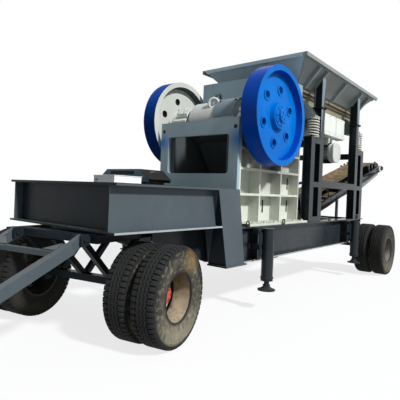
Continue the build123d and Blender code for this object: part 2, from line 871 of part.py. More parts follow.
# Flywheel on the near side
with BuildPart() as flywheel:
    with BuildSketch(near_profile):
        wheel_profile([(flywheel_radius, flywheel_inner), (flywheel_radius, wheel_outer)])
    revolve(axis=shaft_axis)
    wheel_holes(-1)
flywheel.part.label = "flywheel"
export_step(flywheel.part, "parts/flywheel.step")

# Grooved belt pulley on the far side
groove_pitch = (flywheel_width - 2 * groove_margin) / groove_count
groove_root = flywheel_radius - groove_depth
groove_points = [(flywheel_radius, flywheel_inner)]
for groove in range(groove_count):
    start = flywheel_inner + groove_margin + groove * groove_pitch
    middle = start + groove_pitch / 2
    groove_points += [
        (flywheel_radius, start + groove_land), (groove_root, middle - groove_land),
        (groove_root, middle + groove_land), (flywheel_radius, start + groove_pitch - groove_land),
    ]
groove_points.append((flywheel_radius, wheel_outer))
with BuildPart() as drive_pulley:
    with BuildSketch(near_wheel_plane):
        wheel_profile(groove_points)
    revolve(axis=shaft_axis)
    wheel_holes(1)
drive_pulley.part.label = "drive_pulley"
export_step(drive_pulley.part, "parts/drive_pulley.step")

# Pitman: the moving jaw casting, hung on the eccentric
pitman_rear = (shaft_x - pitman_rear_reach, eccentric_z - pitman_rear_drop)
pitman_toe = face_point(face_run.length - pitman_toe_inset, jaw_plate_thickness + pitman_toe_depth)
toe_share = (toggle_height - pitman_toe[1]) / (pitman_rear[1] - pitman_toe[1])
toggle_back = pitman_toe[0] + toe_share * (pitman_rear[0] - pitman_toe[0])
with BuildPart() as pitman:
    with BuildSketch(side_plane(0)):
        with Locations((shaft_x, eccentric_z)):
            Circle(pitman_head_radius)
        Polygon(
            pitman_rear, (shaft_x + pitman_brow_reach, eccentric_z + pitman_brow_rise),
            face_point(0, jaw_plate_thickness),
            face_point(face_run.length - pitman_toe_inset, jaw_plate_thickness), pitman_toe, align=None,
        )
    extrude(amount=pitman_half_width, both=True)
    across_axle(
        Plane.XY, -pitman_half_width, pitman_half_width, eccentric_z,
        eccentric_radius + journal_clearance, x=shaft_x, mode=Mode.SUBTRACT,
    )
    slab(
        toggle_back - pitman_lug_rear, toggle_back + pitman_lug_front,
        -pitman_half_width + pitman_lug_inset, pitman_half_width - pitman_lug_inset,
        toggle_height - pitman_lug_half_height, toggle_height + pitman_lug_half_height,
    )
    with BuildSketch(side_plane(0)):
        with Locations((shaft_x - lifting_eye_setback, eccentric_z + pitman_head_radius + lifting_eye_rise)):
            Circle(lifting_eye_radius)
            Circle(lifting_eye_bore, mode=Mode.SUBTRACT)
    extrude(amount=lifting_eye_thickness / 2, both=True)
pitman.part.label = "pitman"
export_step(pitman.part, "parts/pitman.step")

# Swing jaw plate, corrugated, bolted to the pitman's face
jaw_face = Plane(
    origin=(face_top_x, 0, jaw_top), x_dir=(0, 1, 0), z_dir=(face_down.X, 0, face_down.Z)
)
with BuildPart() as swing_jaw_plate:
    with BuildSketch(jaw_face):
        back = -jaw_plate_thickness * (1 if jaw_face.y_dir.dot(face_normal) > 0 else -1)
        root = back * jaw_tooth_depth / jaw_plate_thickness
        with Locations((0, (back + root) / 2)):
            Rectangle(2 * jaw_half_width, abs(back - root))
        for y in jaw_teeth(jaw_half_width):
            Polygon((y, 0), (y + jaw_tooth_pitch / 2, root), (y - jaw_tooth_pitch / 2, root), align=None)
    extrude(amount=face_run.length - jaw_toe_inset)
swing_jaw_plate.part.label = "swing_jaw_plate"
export_step(swing_jaw_plate.part, "parts/swing_jaw_plate.step")

# Toggle seat beam across the back of the crusher, with the toggle plate
toggle_gap = 2 * throw + running_gap
seat_x = crusher_x + toggle_seat_setback
with BuildPart() as toggle_seat:
    slab(
        seat_x, seat_x + toggle_seat_length, -chamber_half_width, chamber_half_width,
        toggle_height - toggle_seat_drop, toggle_height + toggle_seat_rise,
    )
    slab(
        seat_x + toggle_seat_length, toggle_back - pitman_lug_rear - toggle_gap,
        -pitman_half_width + toggle_inset, pitman_half_width - toggle_inset,
        toggle_height - toggle_plate / 2, toggle_height + toggle_plate / 2,
    )
toggle_seat.part.label = "toggle_seat"
export_step(toggle_seat.part, "parts/toggle_seat.step")

# Hopper sides: flared plates with a rim angle above and ribs outside
flare_run = hopper_half_width - hopper_throat_half_width
flare_rise = hopper_top - hopper_throat
flare_length = sqrt(flare_run ** 2 + flare_rise ** 2)
flare_plane = Plane(
    origin=(hopper_x, -hopper_half_width, hopper_top), x_dir=(1, 0, 0), z_dir=(0, -flare_rise, -flare_run)
)
rib_out_y = -flare_rise / flare_length * hopper_rib_depth
rib_out_z = -flare_run / flare_length * hopper_rib_depth
hopper_rib_stations = (
    crusher_station + crusher_length + 1.5 * hopper_rib_thickness, front_tall_post_station,
    (front_tall_post_station + rear_tall_post_station) / 2, rear_tall_post_station,
    hopper_end_x - nose_x - hopper_end_run,
)
with BuildPart() as hopper_sides:
    with BuildSketch(flare_plane):
        Polygon(
            (0, 0), (hopper_length, 0), (hopper_length - hopper_end_run, -flare_length),
            (hopper_end_run, -flare_length), align=None,
        )
    extrude(amount=-hopper_plate)
    slab(
        hopper_x - hopper_rim_width / 2, hopper_end_x + hopper_rim_width / 2,
        -hopper_half_width - hopper_rim_width / 2, -hopper_half_width + hopper_plate,
        hopper_top - hopper_rim_height, hopper_top,
    )
    rib_y = hopper_half_width - flare_run * hopper_rim_height / flare_rise
    rib_top = hopper_top - hopper_rim_height
    rib_sink = 2.0
    for station in hopper_rib_stations:
        with BuildSketch(station_plane(nose_x + station - hopper_rib_thickness / 2)):
            Polygon(
                (-rib_y + rib_sink, rib_top), (-hopper_throat_half_width + rib_sink, hopper_throat),
                (-hopper_throat_half_width + rib_out_y, hopper_throat + rib_out_z),
                (-rib_y + rib_out_y, rib_top + rib_out_z), align=None,
            )
        extrude(amount=hopper_rib_thickness)
    slab(
        hopper_x - 2 * hopper_rim_width, hopper_end_x + 2 * hopper_rim_width, -1.2 * hopper_half_width, 0,
        hopper_top, hopper_top + 2 * hopper_plate, mode=Mode.SUBTRACT,
    )
    mirror(about=Plane.XZ)
hopper_sides.part.label = "hopper_sides"
export_step(hopper_sides.part, "parts/hopper_sides.step")

# Hopper ends, trimmed to the inner faces of the sides
plate_inset = hopper_plate * flare_length / flare_rise + 0.2
trim_reach = 1.2 * hopper_half_width
with BuildPart() as hopper_ends:
    for end, x in ((-1, hopper_x), (1, hopper_end_x)):
        with BuildSketch(side_plane(0)):
            Polygon(
                (x, hopper_top), (x - end * hopper_end_run, hopper_throat),
                (x - end * (hopper_end_run + hopper_plate), hopper_throat),
                (x - end * hopper_plate, hopper_top), align=None,
            )
        extrude(amount=hopper_half_width, both=True)
        with BuildSketch(side_plane(0)):
            Polygon(
                (x - end * hopper_plate, hopper_top), (x + end * hopper_rim_width / 2, hopper_top),
                (x + end * hopper_rim_width / 2, hopper_top - hopper_rim_height),
                (x - end * hopper_plate, hopper_top - hopper_rim_height), align=None,
            )
        extrude(amount=hopper_half_width - hopper_plate, both=True)
    for side in (-1, 1):
        with BuildSketch(station_plane(hopper_x - hopper_rim_width)):
            Polygon(
                (side * (hopper_half_width - plate_inset), hopper_top + 1),
                (side * (hopper_throat_half_width - plate_inset), hopper_throat),
                (side * (hopper_throat_half_width - plate_inset), hopper_throat - 1),
                (side * trim_reach, hopper_throat - 1), (side * trim_reach, hopper_top + 1), align=None,
            )
        extrude(amount=hopper_length + 2 * hopper_rim_width, mode=Mode.SUBTRACT)
hopper_ends.part.label = "hopper_ends"
export_step(hopper_ends.part, "parts/hopper_ends.step")

# Feed hood over the mouth: an open-backed box on the crusher's top
hood_end_x = crusher_end_x
hood_half_width = crusher_half_width
with BuildPart() as feed_hood:
    slab(hood_x, hood_x + hood_plate, -hood_half_width, hood_half_width, crusher_top, hood_top)
    slab(
        hood_x - 1, hood_x + hood_plate + 1, -chamber_half_width, chamber_half_width,
        crusher_top - 1, crusher_top + hood_notch, mode=Mode.SUBTRACT,
    )
    for side in (-1, 1):
        y = side * (hood_half_width - hood_plate / 2)
        slab(hood_x, hood_end_x, y - hood_plate / 2, y + hood_plate / 2, crusher_top, hood_top)
        foot = side * (hood_half_width + chamber_half_width) / 2
        foot_reach = (hood_half_width - chamber_half_width) / 2
        slab(hood_x, hood_end_x, foot - foot_reach, foot + foot_reach, crusher_top, crusher_top + hood_plate)
feed_hood.part.label = "feed_hood"
export_step(feed_hood.part, "parts/feed_hood.step")

# Feeder trough with its grizzly bars over the mouth
trough_x = crusher_end_x - trough_overhang
trough_end_x = hopper_end_x - trough_setback
grizzly_x = trough_x + grizzly_length
with BuildPart() as feeder_trough:
    slab(
        grizzly_x, trough_end_x, -trough_half_width, trough_half_width,
        trough_bottom, trough_bottom + trough_plate,
    )
    slab(
        trough_end_x - trough_plate, trough_end_x, -trough_half_width, trough_half_width,
        trough_bottom, trough_top,
    )
    for side in (-1, 1):
        y = side * (trough_half_width - trough_plate / 2)
        slab(trough_x, trough_end_x, y - trough_plate / 2, y + trough_plate / 2, trough_bottom, trough_top)
feeder_trough.part.label = "feeder_trough"
export_step(feeder_trough.part, "parts/feeder_trough.step")

with BuildPart() as grizzly_bars:
    bar_pitch = 2 * (trough_half_width - trough_plate) / (grizzly_bar_count + 1)
    for i in range(grizzly_bar_count):
        y = (i - (grizzly_bar_count - 1) / 2) * bar_pitch
        with BuildSketch(Plane(origin=(grizzly_x, y, trough_bottom), x_dir=(0, 1, 0), z_dir=(-1, 0, 0))):
            Polygon(
                (-bar_top_half, bar_depth), (bar_top_half, bar_depth),
                (bar_foot_half, 0), (-bar_foot_half, 0), align=None,
            )
        extrude(amount=grizzly_x - trough_x)
    slab(
        grizzly_x - bar_tie_length, grizzly_x, -trough_half_width + trough_plate,
        trough_half_width - trough_plate, trough_bottom - bar_tie_depth, trough_bottom,
    )
grizzly_bars.part.label = "grizzly_bars"
export_step(grizzly_bars.part, "parts/grizzly_bars.step")

# Support frames: four posts a side, with battens, caps and a rail
post_y = post_outer - post_size / 2
frame_stations = (
    front_short_post_station, front_tall_post_station, rear_tall_post_station, rear_short_post_station,
)


rib_drop = hopper_rib_depth * flare_length / flare_run + 0.3


def flare_height(y):
    return hopper_throat + (y - hopper_throat_half_width) / flare_run * flare_rise


def support_frame():
    for number, station in enumerate(frame_stations):
        tall = number in (1, 2)
        top = hopper_top if tall else short_post_top
        with BuildSketch(Plane.XY.offset(beam_top)) as section:
            with Locations((nose_x + station, -post_y)):
                i_section(post_size, post_size, post_flange, post_web)
        extrude(section.sketch, amount=top - beam_top)
    cut_outer = post_outer + post_size / 2
    cut_inner = post_outer - 1.5 * post_size
    with BuildSketch(station_plane(nose_x + front_short_post_station - post_size)) as outline:
        Polygon(
            (-cut_outer, flare_height(cut_outer) - rib_drop),
            (-cut_inner, flare_height(cut_inner) - rib_drop),
            (-cut_inner, hopper_top + post_size), (-cut_outer, hopper_top + post_size), align=None,
        )
    frame_run = rear_short_post_station - front_short_post_station + 2 * post_size
    extrude(outline.sketch, amount=frame_run, mode=Mode.SUBTRACT)
    for first, second in ((0, 1), (2, 3)):
        x0 = nose_x + frame_stations[first] + post_size / 2
        x1 = nose_x + frame_stations[second] - post_size / 2
        for bottom in (beam_top, rail_bottom, short_post_top - batten_depth):
            slab(x0, x1, -post_outer, -post_outer + post_size, bottom, bottom + batten_depth)
    slab(
        nose_x + front_tall_post_station + post_size / 2, nose_x + rear_tall_post_station - post_size / 2,
        -post_outer, -post_outer + post_size * 0.6, rail_bottom, rail_bottom + rail_depth,
    )
    slab(
        nose_x + front_short_post_station - post_size / 2, nose_x + front_tall_post_station - post_size / 2,
        -post_outer, -post_outer + post_size, short_post_top, short_post_top + cap_plate,
    )
    slab(
        nose_x + rear_tall_post_station + post_size / 2, nose_x + rear_short_post_station + post_size / 2,
        -post_outer, -post_outer + post_size, short_post_top, short_post_top + cap_plate,
    )


with BuildPart() as support_frame_near:
    support_frame()
support_frame_near.part.label = "support_frame_near"
export_step(support_frame_near.part, "parts/support_frame_near.step")

with BuildPart() as support_frame_far:
    support_frame()
    mirror(about=Plane.XZ)
    slab(
        nose_x, chassis_end_x, -chassis_half_width, 0, beam_top - 10, hopper_top + 10, mode=Mode.SUBTRACT,
    )
support_frame_far.part.label = "support_frame_far"
export_step(support_frame_far.part, "parts/support_frame_far.step")

# Ties between the two frames, and the seats that carry the trough on its springs
spring_stations = (
    (front_short_post_station + front_tall_post_station - post_size) / 2 + front_spring_shift,
    (rear_tall_post_station + rear_short_post_station + post_size) / 2 - rear_spring_shift,
)
spring_bottom = short_post_top + cap_plate
spring_top = trough_bottom - spring_drop
with BuildPart() as frame_ties:
    for station in (front_short_post_station + tie_setback, rear_short_post_station):
        x = nose_x + station
        slab(
            x - tie_half_length, x + tie_half_length, -post_outer + post_size, post_outer - post_size,
            short_post_top - tie_drop - tie_depth, short_post_top - tie_drop,
        )
frame_ties.part.label = "frame_ties"
export_step(frame_ties.part, "parts/frame_ties.step")

# Feeder springs: each coil stack is one turned body of rounded turns
turn_pitch = (spring_top - spring_bottom) / spring_turns
with BuildPart() as feeder_springs:
    for station in spring_stations:
        x = nose_x + station
        with BuildSketch(Plane(origin=(x, -post_y, spring_bottom), x_dir=(1, 0, 0), z_dir=(0, -1, 0))):
            with Locations((spring_radius / 2 - spring_wire, (spring_top - spring_bottom) / 2)):
                Rectangle(spring_radius - 2 * spring_wire, spring_top - spring_bottom)
            for turn in range(spring_turns):
                with Locations((spring_radius - spring_wire * 1.5, (turn + 0.5) * turn_pitch)):
                    Rectangle(spring_wire * 3, turn_pitch * 0.55)
            with Locations((-spring_radius, (spring_top - spring_bottom) / 2)):
                Rectangle(2 * spring_radius, 2 * (spring_top - spring_bottom), mode=Mode.SUBTRACT)
        revolve(axis=Axis((x, -post_y, 0), (0, 0, 1)))
    mirror(about=Plane.XZ)
feeder_springs.part.label = "feeder_springs"
export_step(feeder_springs.part, "parts/feeder_springs.step")

# Spring seats: brackets that stand out of the trough's sides over the springs
seat_top = spring_top + seat_plate
with BuildPart() as spring_seats:
    for station in spring_stations:
        x = nose_x + station
        slab(
            x - seat_half_length, x + seat_half_length, -post_outer + seat_edge, -trough_half_width,
            spring_top, seat_top,
        )
        for side in (-1, 0, 1):
            with BuildSketch(station_plane(x + side * seat_gusset_pitch - seat_gusset / 2)):
                Polygon(
                    (-post_outer + 5 * seat_edge, seat_top), (-trough_half_width, seat_top),
                    (-trough_half_width, seat_top + seat_gusset_height),
                    (-trough_half_width - 2 * seat_plate, seat_top + seat_gusset_height), align=None,
                )
            extrude(amount=seat_gusset)
    mirror(about=Plane.XZ)
spring_seats.part.label = "spring_seats"
export_step(spring_seats.part, "parts/spring_seats.step")

# Exciter cases on both sides of the trough, joined by the shaft tubes under it
exciter_inner = trough_half_width
exciter_lengths = [share * tall_post_bay for share in exciter_shares]
exciter_middles = [
    nose_x + exciter_station + exciter_lengths[0] / 2,
    nose_x + exciter_station + exciter_lengths[0] + exciter_gap + exciter_lengths[1] / 2,
]
with BuildPart() as exciter_cases:
    for middle, length in zip(exciter_middles, exciter_lengths):
        for side in (-1, 1):
            slab(
                middle - length / 2, middle + length / 2,
                *sorted((side * exciter_inner, side * exciter_outer)),
                exciter_bottom, exciter_bottom + exciter_height,
            )
        across_axle(
            Plane.XY, -exciter_inner, exciter_inner, exciter_bottom + exciter_tube_height,
            exciter_tube_radius, x=middle,
        )
exciter_cases.part.label = "exciter_cases"
export_step(exciter_cases.part, "parts/exciter_cases.step")

# Feeder motor, hung below the exciter
motor_x = nose_x + feeder_motor_station
motor_end_y = -exciter_outer + feeder_motor_length
with BuildPart() as feeder_motor:
    across_axle(Plane.XY, -exciter_outer, motor_end_y, feeder_motor_height, feeder_motor_radius, x=motor_x)
    across_axle(
        Plane.XY, motor_end_y, motor_end_y + feeder_shaft_length, feeder_motor_height,
        feeder_shaft_radius, x=motor_x,
    )
    slab(
        motor_x - motor_foot_width / 2, motor_x + motor_foot_width / 2,
        -exciter_outer + motor_foot_setback, -exciter_outer + motor_foot_setback + motor_foot_length,
        feeder_motor_height + feeder_motor_radius - motor_foot_sink, exciter_bottom,
    )
feeder_motor.part.label = "feeder_motor"
export_step(feeder_motor.part, "parts/feeder_motor.step")


def conveyor_point(along, y, up):
    return conveyor_plane.from_local_coords(Vector(along, y, up))


# Conveyor side channels, cross members, legs and head struts
with BuildPart() as conveyor_frame:
    for side in (-1, 1):
        with BuildSketch(Plane(
            origin=conveyor_plane.from_local_coords(Vector(0, 0, 0)),
            x_dir=(0, side, 0), z_dir=conveyor_along,
        )):
            with Locations((conveyor_half_width + channel_flange / 2, 0)):
                Rectangle(channel_flange, channel_depth)
            with Locations((conveyor_half_width + channel_flange / 2 + channel_plate, 0)):
                Rectangle(channel_flange, channel_depth - 2 * channel_plate, mode=Mode.SUBTRACT)
        extrude(amount=conveyor_length)
    for number in range(channel_tie_count):
        along = conveyor_length * (number + 0.5) / channel_tie_count
        strut(
            conveyor_point(along, -conveyor_half_width, 0), conveyor_point(along, conveyor_half_width, 0),
            channel_tie_width, channel_tie_depth,
        )
    leg_top = conveyor_tail_height + (leg_x - conveyor_tail_x) * conveyor_slope - channel_depth / 2
    for side in (-1, 1):
        y = side * (conveyor_half_width + channel_flange / 2)
        slab(
            leg_x - leg_length / 2, leg_x + leg_length / 2, y - leg_width / 2, y + leg_width / 2,
            beam_top, leg_top + channel_plate,
        )
        head_y = side * (conveyor_half_width + channel_flange)
        strut(
            (leg_x + post_size / 2, side * (post_outer - head_strut), rail_bottom + head_strut),
            conveyor_point(conveyor_length - head_strut_setback, head_y, channel_plate - channel_depth / 2),
            head_strut, head_strut,
        )
conveyor_frame.part.label = "conveyor_frame"
export_step(conveyor_frame.part, "parts/conveyor_frame.step")

# Tail hangers between the main beams and the conveyor channels
with BuildPart() as tail_hangers:
    for side in (-1, 1):
        y0 = side * (conveyor_half_width + channel_flange)
        y1 = side * (beam_y - web_thickness / 2)
        x = conveyor_tail_x + (hanger_height - conveyor_tail_height) / conveyor_slope
        slab(
            x - hanger_length / 2, x + hanger_length / 2, min(y0, y1), max(y0, y1),
            hanger_height - hanger_depth / 2, hanger_height + hanger_depth / 2,
        )
tail_hangers.part.label = "tail_hangers"
export_step(tail_hangers.part, "parts/tail_hangers.step")

# Conveyor belt: one closed loop round the head and tail pulleys
with BuildPart() as conveyor_belt:
    with BuildSketch(Plane(origin=conveyor_plane.origin, x_dir=conveyor_along, z_dir=(0, -1, 0))):
        with Locations((conveyor_length / 2, 0)):
            SlotCenterToCenter(conveyor_length, 2 * (pulley_radius + belt_thickness))
            SlotCenterToCenter(conveyor_length, 2 * pulley_radius, mode=Mode.SUBTRACT)
    extrude(amount=belt_width / 2, both=True)
conveyor_belt.part.label = "conveyor_belt"
export_step(conveyor_belt.part, "parts/conveyor_belt.step")

# Head and tail pulleys on their shafts
with BuildPart() as conveyor_pulleys:
    for x in (0, conveyor_length):
        across_axle(conveyor_plane, -pulley_half_width, pulley_half_width, 0, pulley_radius, x=x)
        across_axle(conveyor_plane, -conveyor_half_width, conveyor_half_width, 0, pulley_shaft_radius, x=x)
conveyor_pulleys.part.label = "conveyor_pulleys"
export_step(conveyor_pulleys.part, "parts/conveyor_pulleys.step")

# Carrying rollers under the upper run of the belt
roller_count = int((conveyor_length - 2 * pulley_radius) / roller_pitch)
with BuildPart() as conveyor_rollers:
    for i in range(roller_count):
        x = conveyor_length * (i + 1) / (roller_count + 1)
        steps = ((belt_width / 2, roller_radius), (conveyor_half_width, roller_shaft_radius))
        for half_width, radius in steps:
            across_axle(conveyor_plane, -half_width, half_width, pulley_radius - roller_radius, radius, x=x)
conveyor_rollers.part.label = "conveyor_rollers"
export_step(conveyor_rollers.part, "parts/conveyor_rollers.step")

# Bogie frame: turntable ring, top frame, fore and aft braces, and the drawbar's ears
with BuildPart() as bogie_frame:
    with BuildSketch(Plane.XY.offset(bogie_top)):
        with Locations((kingpin_x, 0)):
            Circle(turntable_radius)
            Circle(kingpin_radius + journal_clearance, mode=Mode.SUBTRACT)
    extrude(amount=turntable_thickness)
    outer_x = bogie_half_length + bogie_member / 2
    outer_y = bogie_half_width + bogie_member / 2
    with BuildSketch(bogie.offset(bogie_bottom)) as outline:
        Rectangle(2 * outer_x, 2 * outer_y)
        chamfer(outline.vertices().group_by(Axis.X)[-1], bogie_corner)
        for side in (-1, 1):
            with Locations((0, side * (centre_plate_width / 4 + bogie_half_width / 2 - bogie_member / 4))):
                Rectangle(
                    2 * bogie_half_length - bogie_member - bogie_corner,
                    bogie_half_width - bogie_member / 2 - centre_plate_width / 2, mode=Mode.SUBTRACT,
                )
        Circle(kingpin_radius + journal_clearance, mode=Mode.SUBTRACT)
    extrude(amount=bogie_member)
    for y in (-brace_spread, 0, brace_spread):
        for end in (-1, 1):
            strut(
                bogie_point(end * brace_foot_offset, y, axle_top),
                bogie_point(end * bogie_half_length, y, bogie_bottom + brace_size / 10),
                brace_size, brace_size,
            )
    with BuildSketch(bogie.offset(axle_bottom)):
        Rectangle(4 * axle_width, 2 * bogie_half_width)
    extrude(amount=axle_depth, mode=Mode.SUBTRACT)
    ear_middle = (tongue_width + running_gap + ear_thickness) / 2
    for side in (-1, 1):
        for offset in (-ear_middle, ear_middle):
            ear_plane = Plane(
                origin=bogie_point(0, side * hinge_half_spread + offset, 0),
                x_dir=bogie.x_dir, z_dir=-bogie.y_dir,
            )
            with BuildSketch(ear_plane):
                with Locations((-hinge_distance, hinge_z)):
                    RectangleRounded(2 * ear_half_size, 2 * ear_half_size, ear_corner)
                with Locations((-(hinge_distance + bogie_half_length) / 2, hinge_z)):
                    Rectangle(hinge_distance - bogie_half_length, 2 * ear_half_size - 4 * ear_corner)
            extrude(amount=ear_thickness / 2, both=True)
        pin_reach = ear_middle + ear_thickness
        across_axle(
            bogie, side * hinge_half_spread - pin_reach, side * hinge_half_spread + pin_reach, hinge_z,
            hinge_pin_radius, x=-hinge_distance,
        )
bogie_frame.part.label = "bogie_frame"
export_step(bogie_frame.part, "parts/bogie_frame.step")


def wheel_plane(axle):
    return bogie if axle == "front" else Plane(origin=(rear_axle_x, 0, 0), x_dir=(1, 0, 0), z_dir=(0, 0, 1))


def dual_centres(track):
    outer = track / 2 - tyre_width / 2
    return outer - dual_spacing, outer


def hub_middle(track):
    inner, outer = dual_centres(track)
    return (inner + outer) / 2


def axle_beam(plane, track):
    inner, outer = dual_centres(track)
    end = inner - tyre_width / 2 - axle_end_gap
    knuckle_bottom = axle_z - spindle_radius
    with BuildSketch(plane.offset(axle_bottom)) as outline:
        Rectangle(axle_width, 2 * end)
    extrude(outline.sketch, amount=axle_depth)
    spindle_end = hub_middle(track) + hub_half - spindle_gap
    for side in (-1, 1):
        with BuildSketch(plane.offset(knuckle_bottom)) as outline:
            with Locations((0, side * (end - knuckle_width / 2))):
                Rectangle(axle_width, knuckle_width)
        extrude(outline.sketch, amount=axle_bottom - knuckle_bottom)
        across_axle(
            plane, *sorted((side * (end - knuckle_width), side * spindle_end)), axle_z, spindle_radius,
        )


# Front axle: a flat beam with knuckles that carry the round spindles
with BuildPart() as front_axle:
    axle_beam(bogie, front_track)
front_axle.part.label = "front_axle"
export_step(front_axle.part, "parts/front_axle.step")

# Rear axle with its saddles under the main beams
with BuildPart() as rear_axle:
    axle_beam(wheel_plane("rear"), rear_track)
    for side in (-1, 1):
        y = side * (beam_y - saddle_inset)
        slab(
            rear_axle_x - saddle_length / 2, rear_axle_x + saddle_length / 2,
            y - saddle_width / 2, y + saddle_width / 2, axle_top, beam_bottom,
        )
rear_axle.part.label = "rear_axle"
export_step(rear_axle.part, "parts/rear_axle.step")


def tyre_profile(middle):
    half = tyre_width / 2
    near_side = [
        (rim_radius, -half * bead_share), (rim_radius + bead_height, -half * shoulder_share),
        (tyre_radius - sidewall_drop, -half), (tyre_radius - bead_height, -half * shoulder_share),
        (tyre_radius - crown_drop, -half * tread_share), (tyre_radius, -half * crown_share),
    ]
    far_side = [(radius, -offset) for radius, offset in reversed(near_side)]
    Polygon(*[(radius, middle + offset) for radius, offset in near_side + far_side], align=None)


def rim_profile(middle, disc_side):
    half = tyre_width / 2 * bead_share
    disc = middle + disc_side * (dual_spacing / 2 - disc_thickness)
    near_edge = min(middle - half, disc - disc_thickness / 2)
    far_edge = max(middle + half, disc + disc_thickness / 2)
    rim_inner = rim_radius - rim_wall
    Polygon(
        (rim_radius, middle - half), (rim_radius, middle + half),
        (rim_inner, far_edge), (rim_inner, near_edge), align=None,
    )
    disc_root = hub_radius - disc_sink
    disc_outer = rim_inner + disc_sink / 5
    with Locations(((disc_root + disc_outer) / 2, disc)):
        Rectangle(disc_outer - disc_root, disc_thickness)


def wheel_sketch_plane(plane):
    return Plane(origin=plane.from_local_coords(Vector(0, 0, axle_z)), x_dir=plane.x_dir, z_dir=plane.z_dir)


def wheel_axis(plane):
    return Axis(plane.from_local_coords(Vector(0, 0, axle_z)), plane.y_dir)


hub_bore = spindle_radius + journal_clearance
wheel_sets = (
    ("front", "near", -1, front_track), ("front", "far", 1, front_track),
    ("rear", "near", -1, rear_track), ("rear", "far", 1, rear_track),
)
for axle, side_name, side, track in wheel_sets:
    plane = wheel_plane(axle)
    inner, outer = dual_centres(track)
    with BuildPart() as tyres:
        with BuildSketch(wheel_sketch_plane(plane)):
            tyre_profile(side * inner)
            tyre_profile(side * outer)
        revolve(axis=wheel_axis(plane))
    tyres.part.label = f"{axle}_tyres_{side_name}"
    export_step(tyres.part, f"parts/{axle}_tyres_{side_name}.step")

    with BuildPart() as rims:
        with BuildSketch(wheel_sketch_plane(plane)):
            rim_profile(side * inner, side)
            rim_profile(side * outer, -side)
            with Locations(((hub_radius + hub_bore) / 2, side * (inner + outer) / 2)):
                Rectangle(hub_radius - hub_bore, 2 * hub_half)
            with Locations((hub_radius / 2, side * (hub_middle(track) + hub_half + hub_cap / 2))):
                Rectangle(hub_radius, hub_cap)
        revolve(axis=wheel_axis(plane))
    rims.part.label = f"{axle}_rims_{side_name}"
    export_step(rims.part, f"parts/{axle}_rims_{side_name}.step")

# Jack tubes on their brackets, and the four jack legs
jacks = (
    ("front_near", front_jack_station, -1), ("front_far", front_jack_station, 1),
    ("rear_near", rear_jack_station, -1), ("rear_far", rear_jack_station, 1),
)
with BuildPart() as jack_tubes:
    for name, station, side in jacks:
        x = nose_x + station
        y = side * jack_offset
        with Locations((x, y, (jack_tube_bottom + jack_tube_top) / 2)):
            Cylinder(jack_tube_radius, jack_tube_top - jack_tube_bottom)
        bore_top = jack_tube_top - jack_bore_top
        with Locations((x, y, (jack_tube_bottom - 1 + bore_top) / 2)):
            Cylinder(jack_rod_radius + jack_clearance, bore_top - jack_tube_bottom + 1, mode=Mode.SUBTRACT)
        edges = sorted((side * (chassis_half_width - stiffener_inset), y - side * bracket_grip))
        for top in (beam_top - upper_bracket_drop, beam_top - lower_bracket_drop):
            slab(x - bracket_lead, x - bracket_lead + bracket_length, *edges, top - bracket_depth, top)
jack_tubes.part.label = "jack_tubes"
export_step(jack_tubes.part, "parts/jack_tubes.step")

rod_length = jack_tube_top - jack_rod_drop - jack_foot_bottom
for name, station, side in jacks:
    with BuildPart() as jack_leg:
        foot_centre = (nose_x + station, side * jack_offset, jack_foot_bottom)
        collar_radius = jack_rod_radius + foot_edge
        with BuildSketch(Plane(origin=foot_centre, x_dir=(1, 0, 0), z_dir=(0, -1, 0))):
            Polygon(
                (0, 0), (jack_foot_radius, 0), (jack_foot_radius, foot_edge),
                (jack_foot_radius - foot_crown_inset, 2 * foot_edge), (collar_radius, collar_bottom),
                (collar_radius, collar_top), (jack_rod_radius, collar_top + foot_edge / 2),
                (jack_rod_radius, rod_length), (0, rod_length), align=None,
            )
        revolve(axis=Axis((nose_x + station, side * jack_offset, 0), (0, 0, 1)))
    jack_leg.part.label = f"jack_leg_{name}"
    export_step(jack_leg.part, f"parts/jack_leg_{name}.step")

# Drawbar: tongues on the hinge pins, two box arms, cross bar, gussets and tow eye
arm_tip_x = drawbar_length - tow_eye_radius - arm_tip_gap
nose_plate_x = arm_tip_x - nose_plate_run
nose_plate_half_width = drawbar_nose_half_width + nose_plate_edge
eye_root_half_width = 0.8 * tow_eye_radius
arm_slope = (hinge_half_spread - drawbar_nose_half_width) / (arm_tip_x - tongue_length)
arm_y = hinge_half_spread - arm_slope * (cross_bar_station - tongue_length)
cross_half_span = arm_y - drawbar_member / 2 + weld_sink
cross_bar_lift = (drawbar_member - cross_bar_depth) / 2


def drawbar_point(x, y, z=0):
    return drawbar_plane.from_local_coords(Vector(x, y, z))


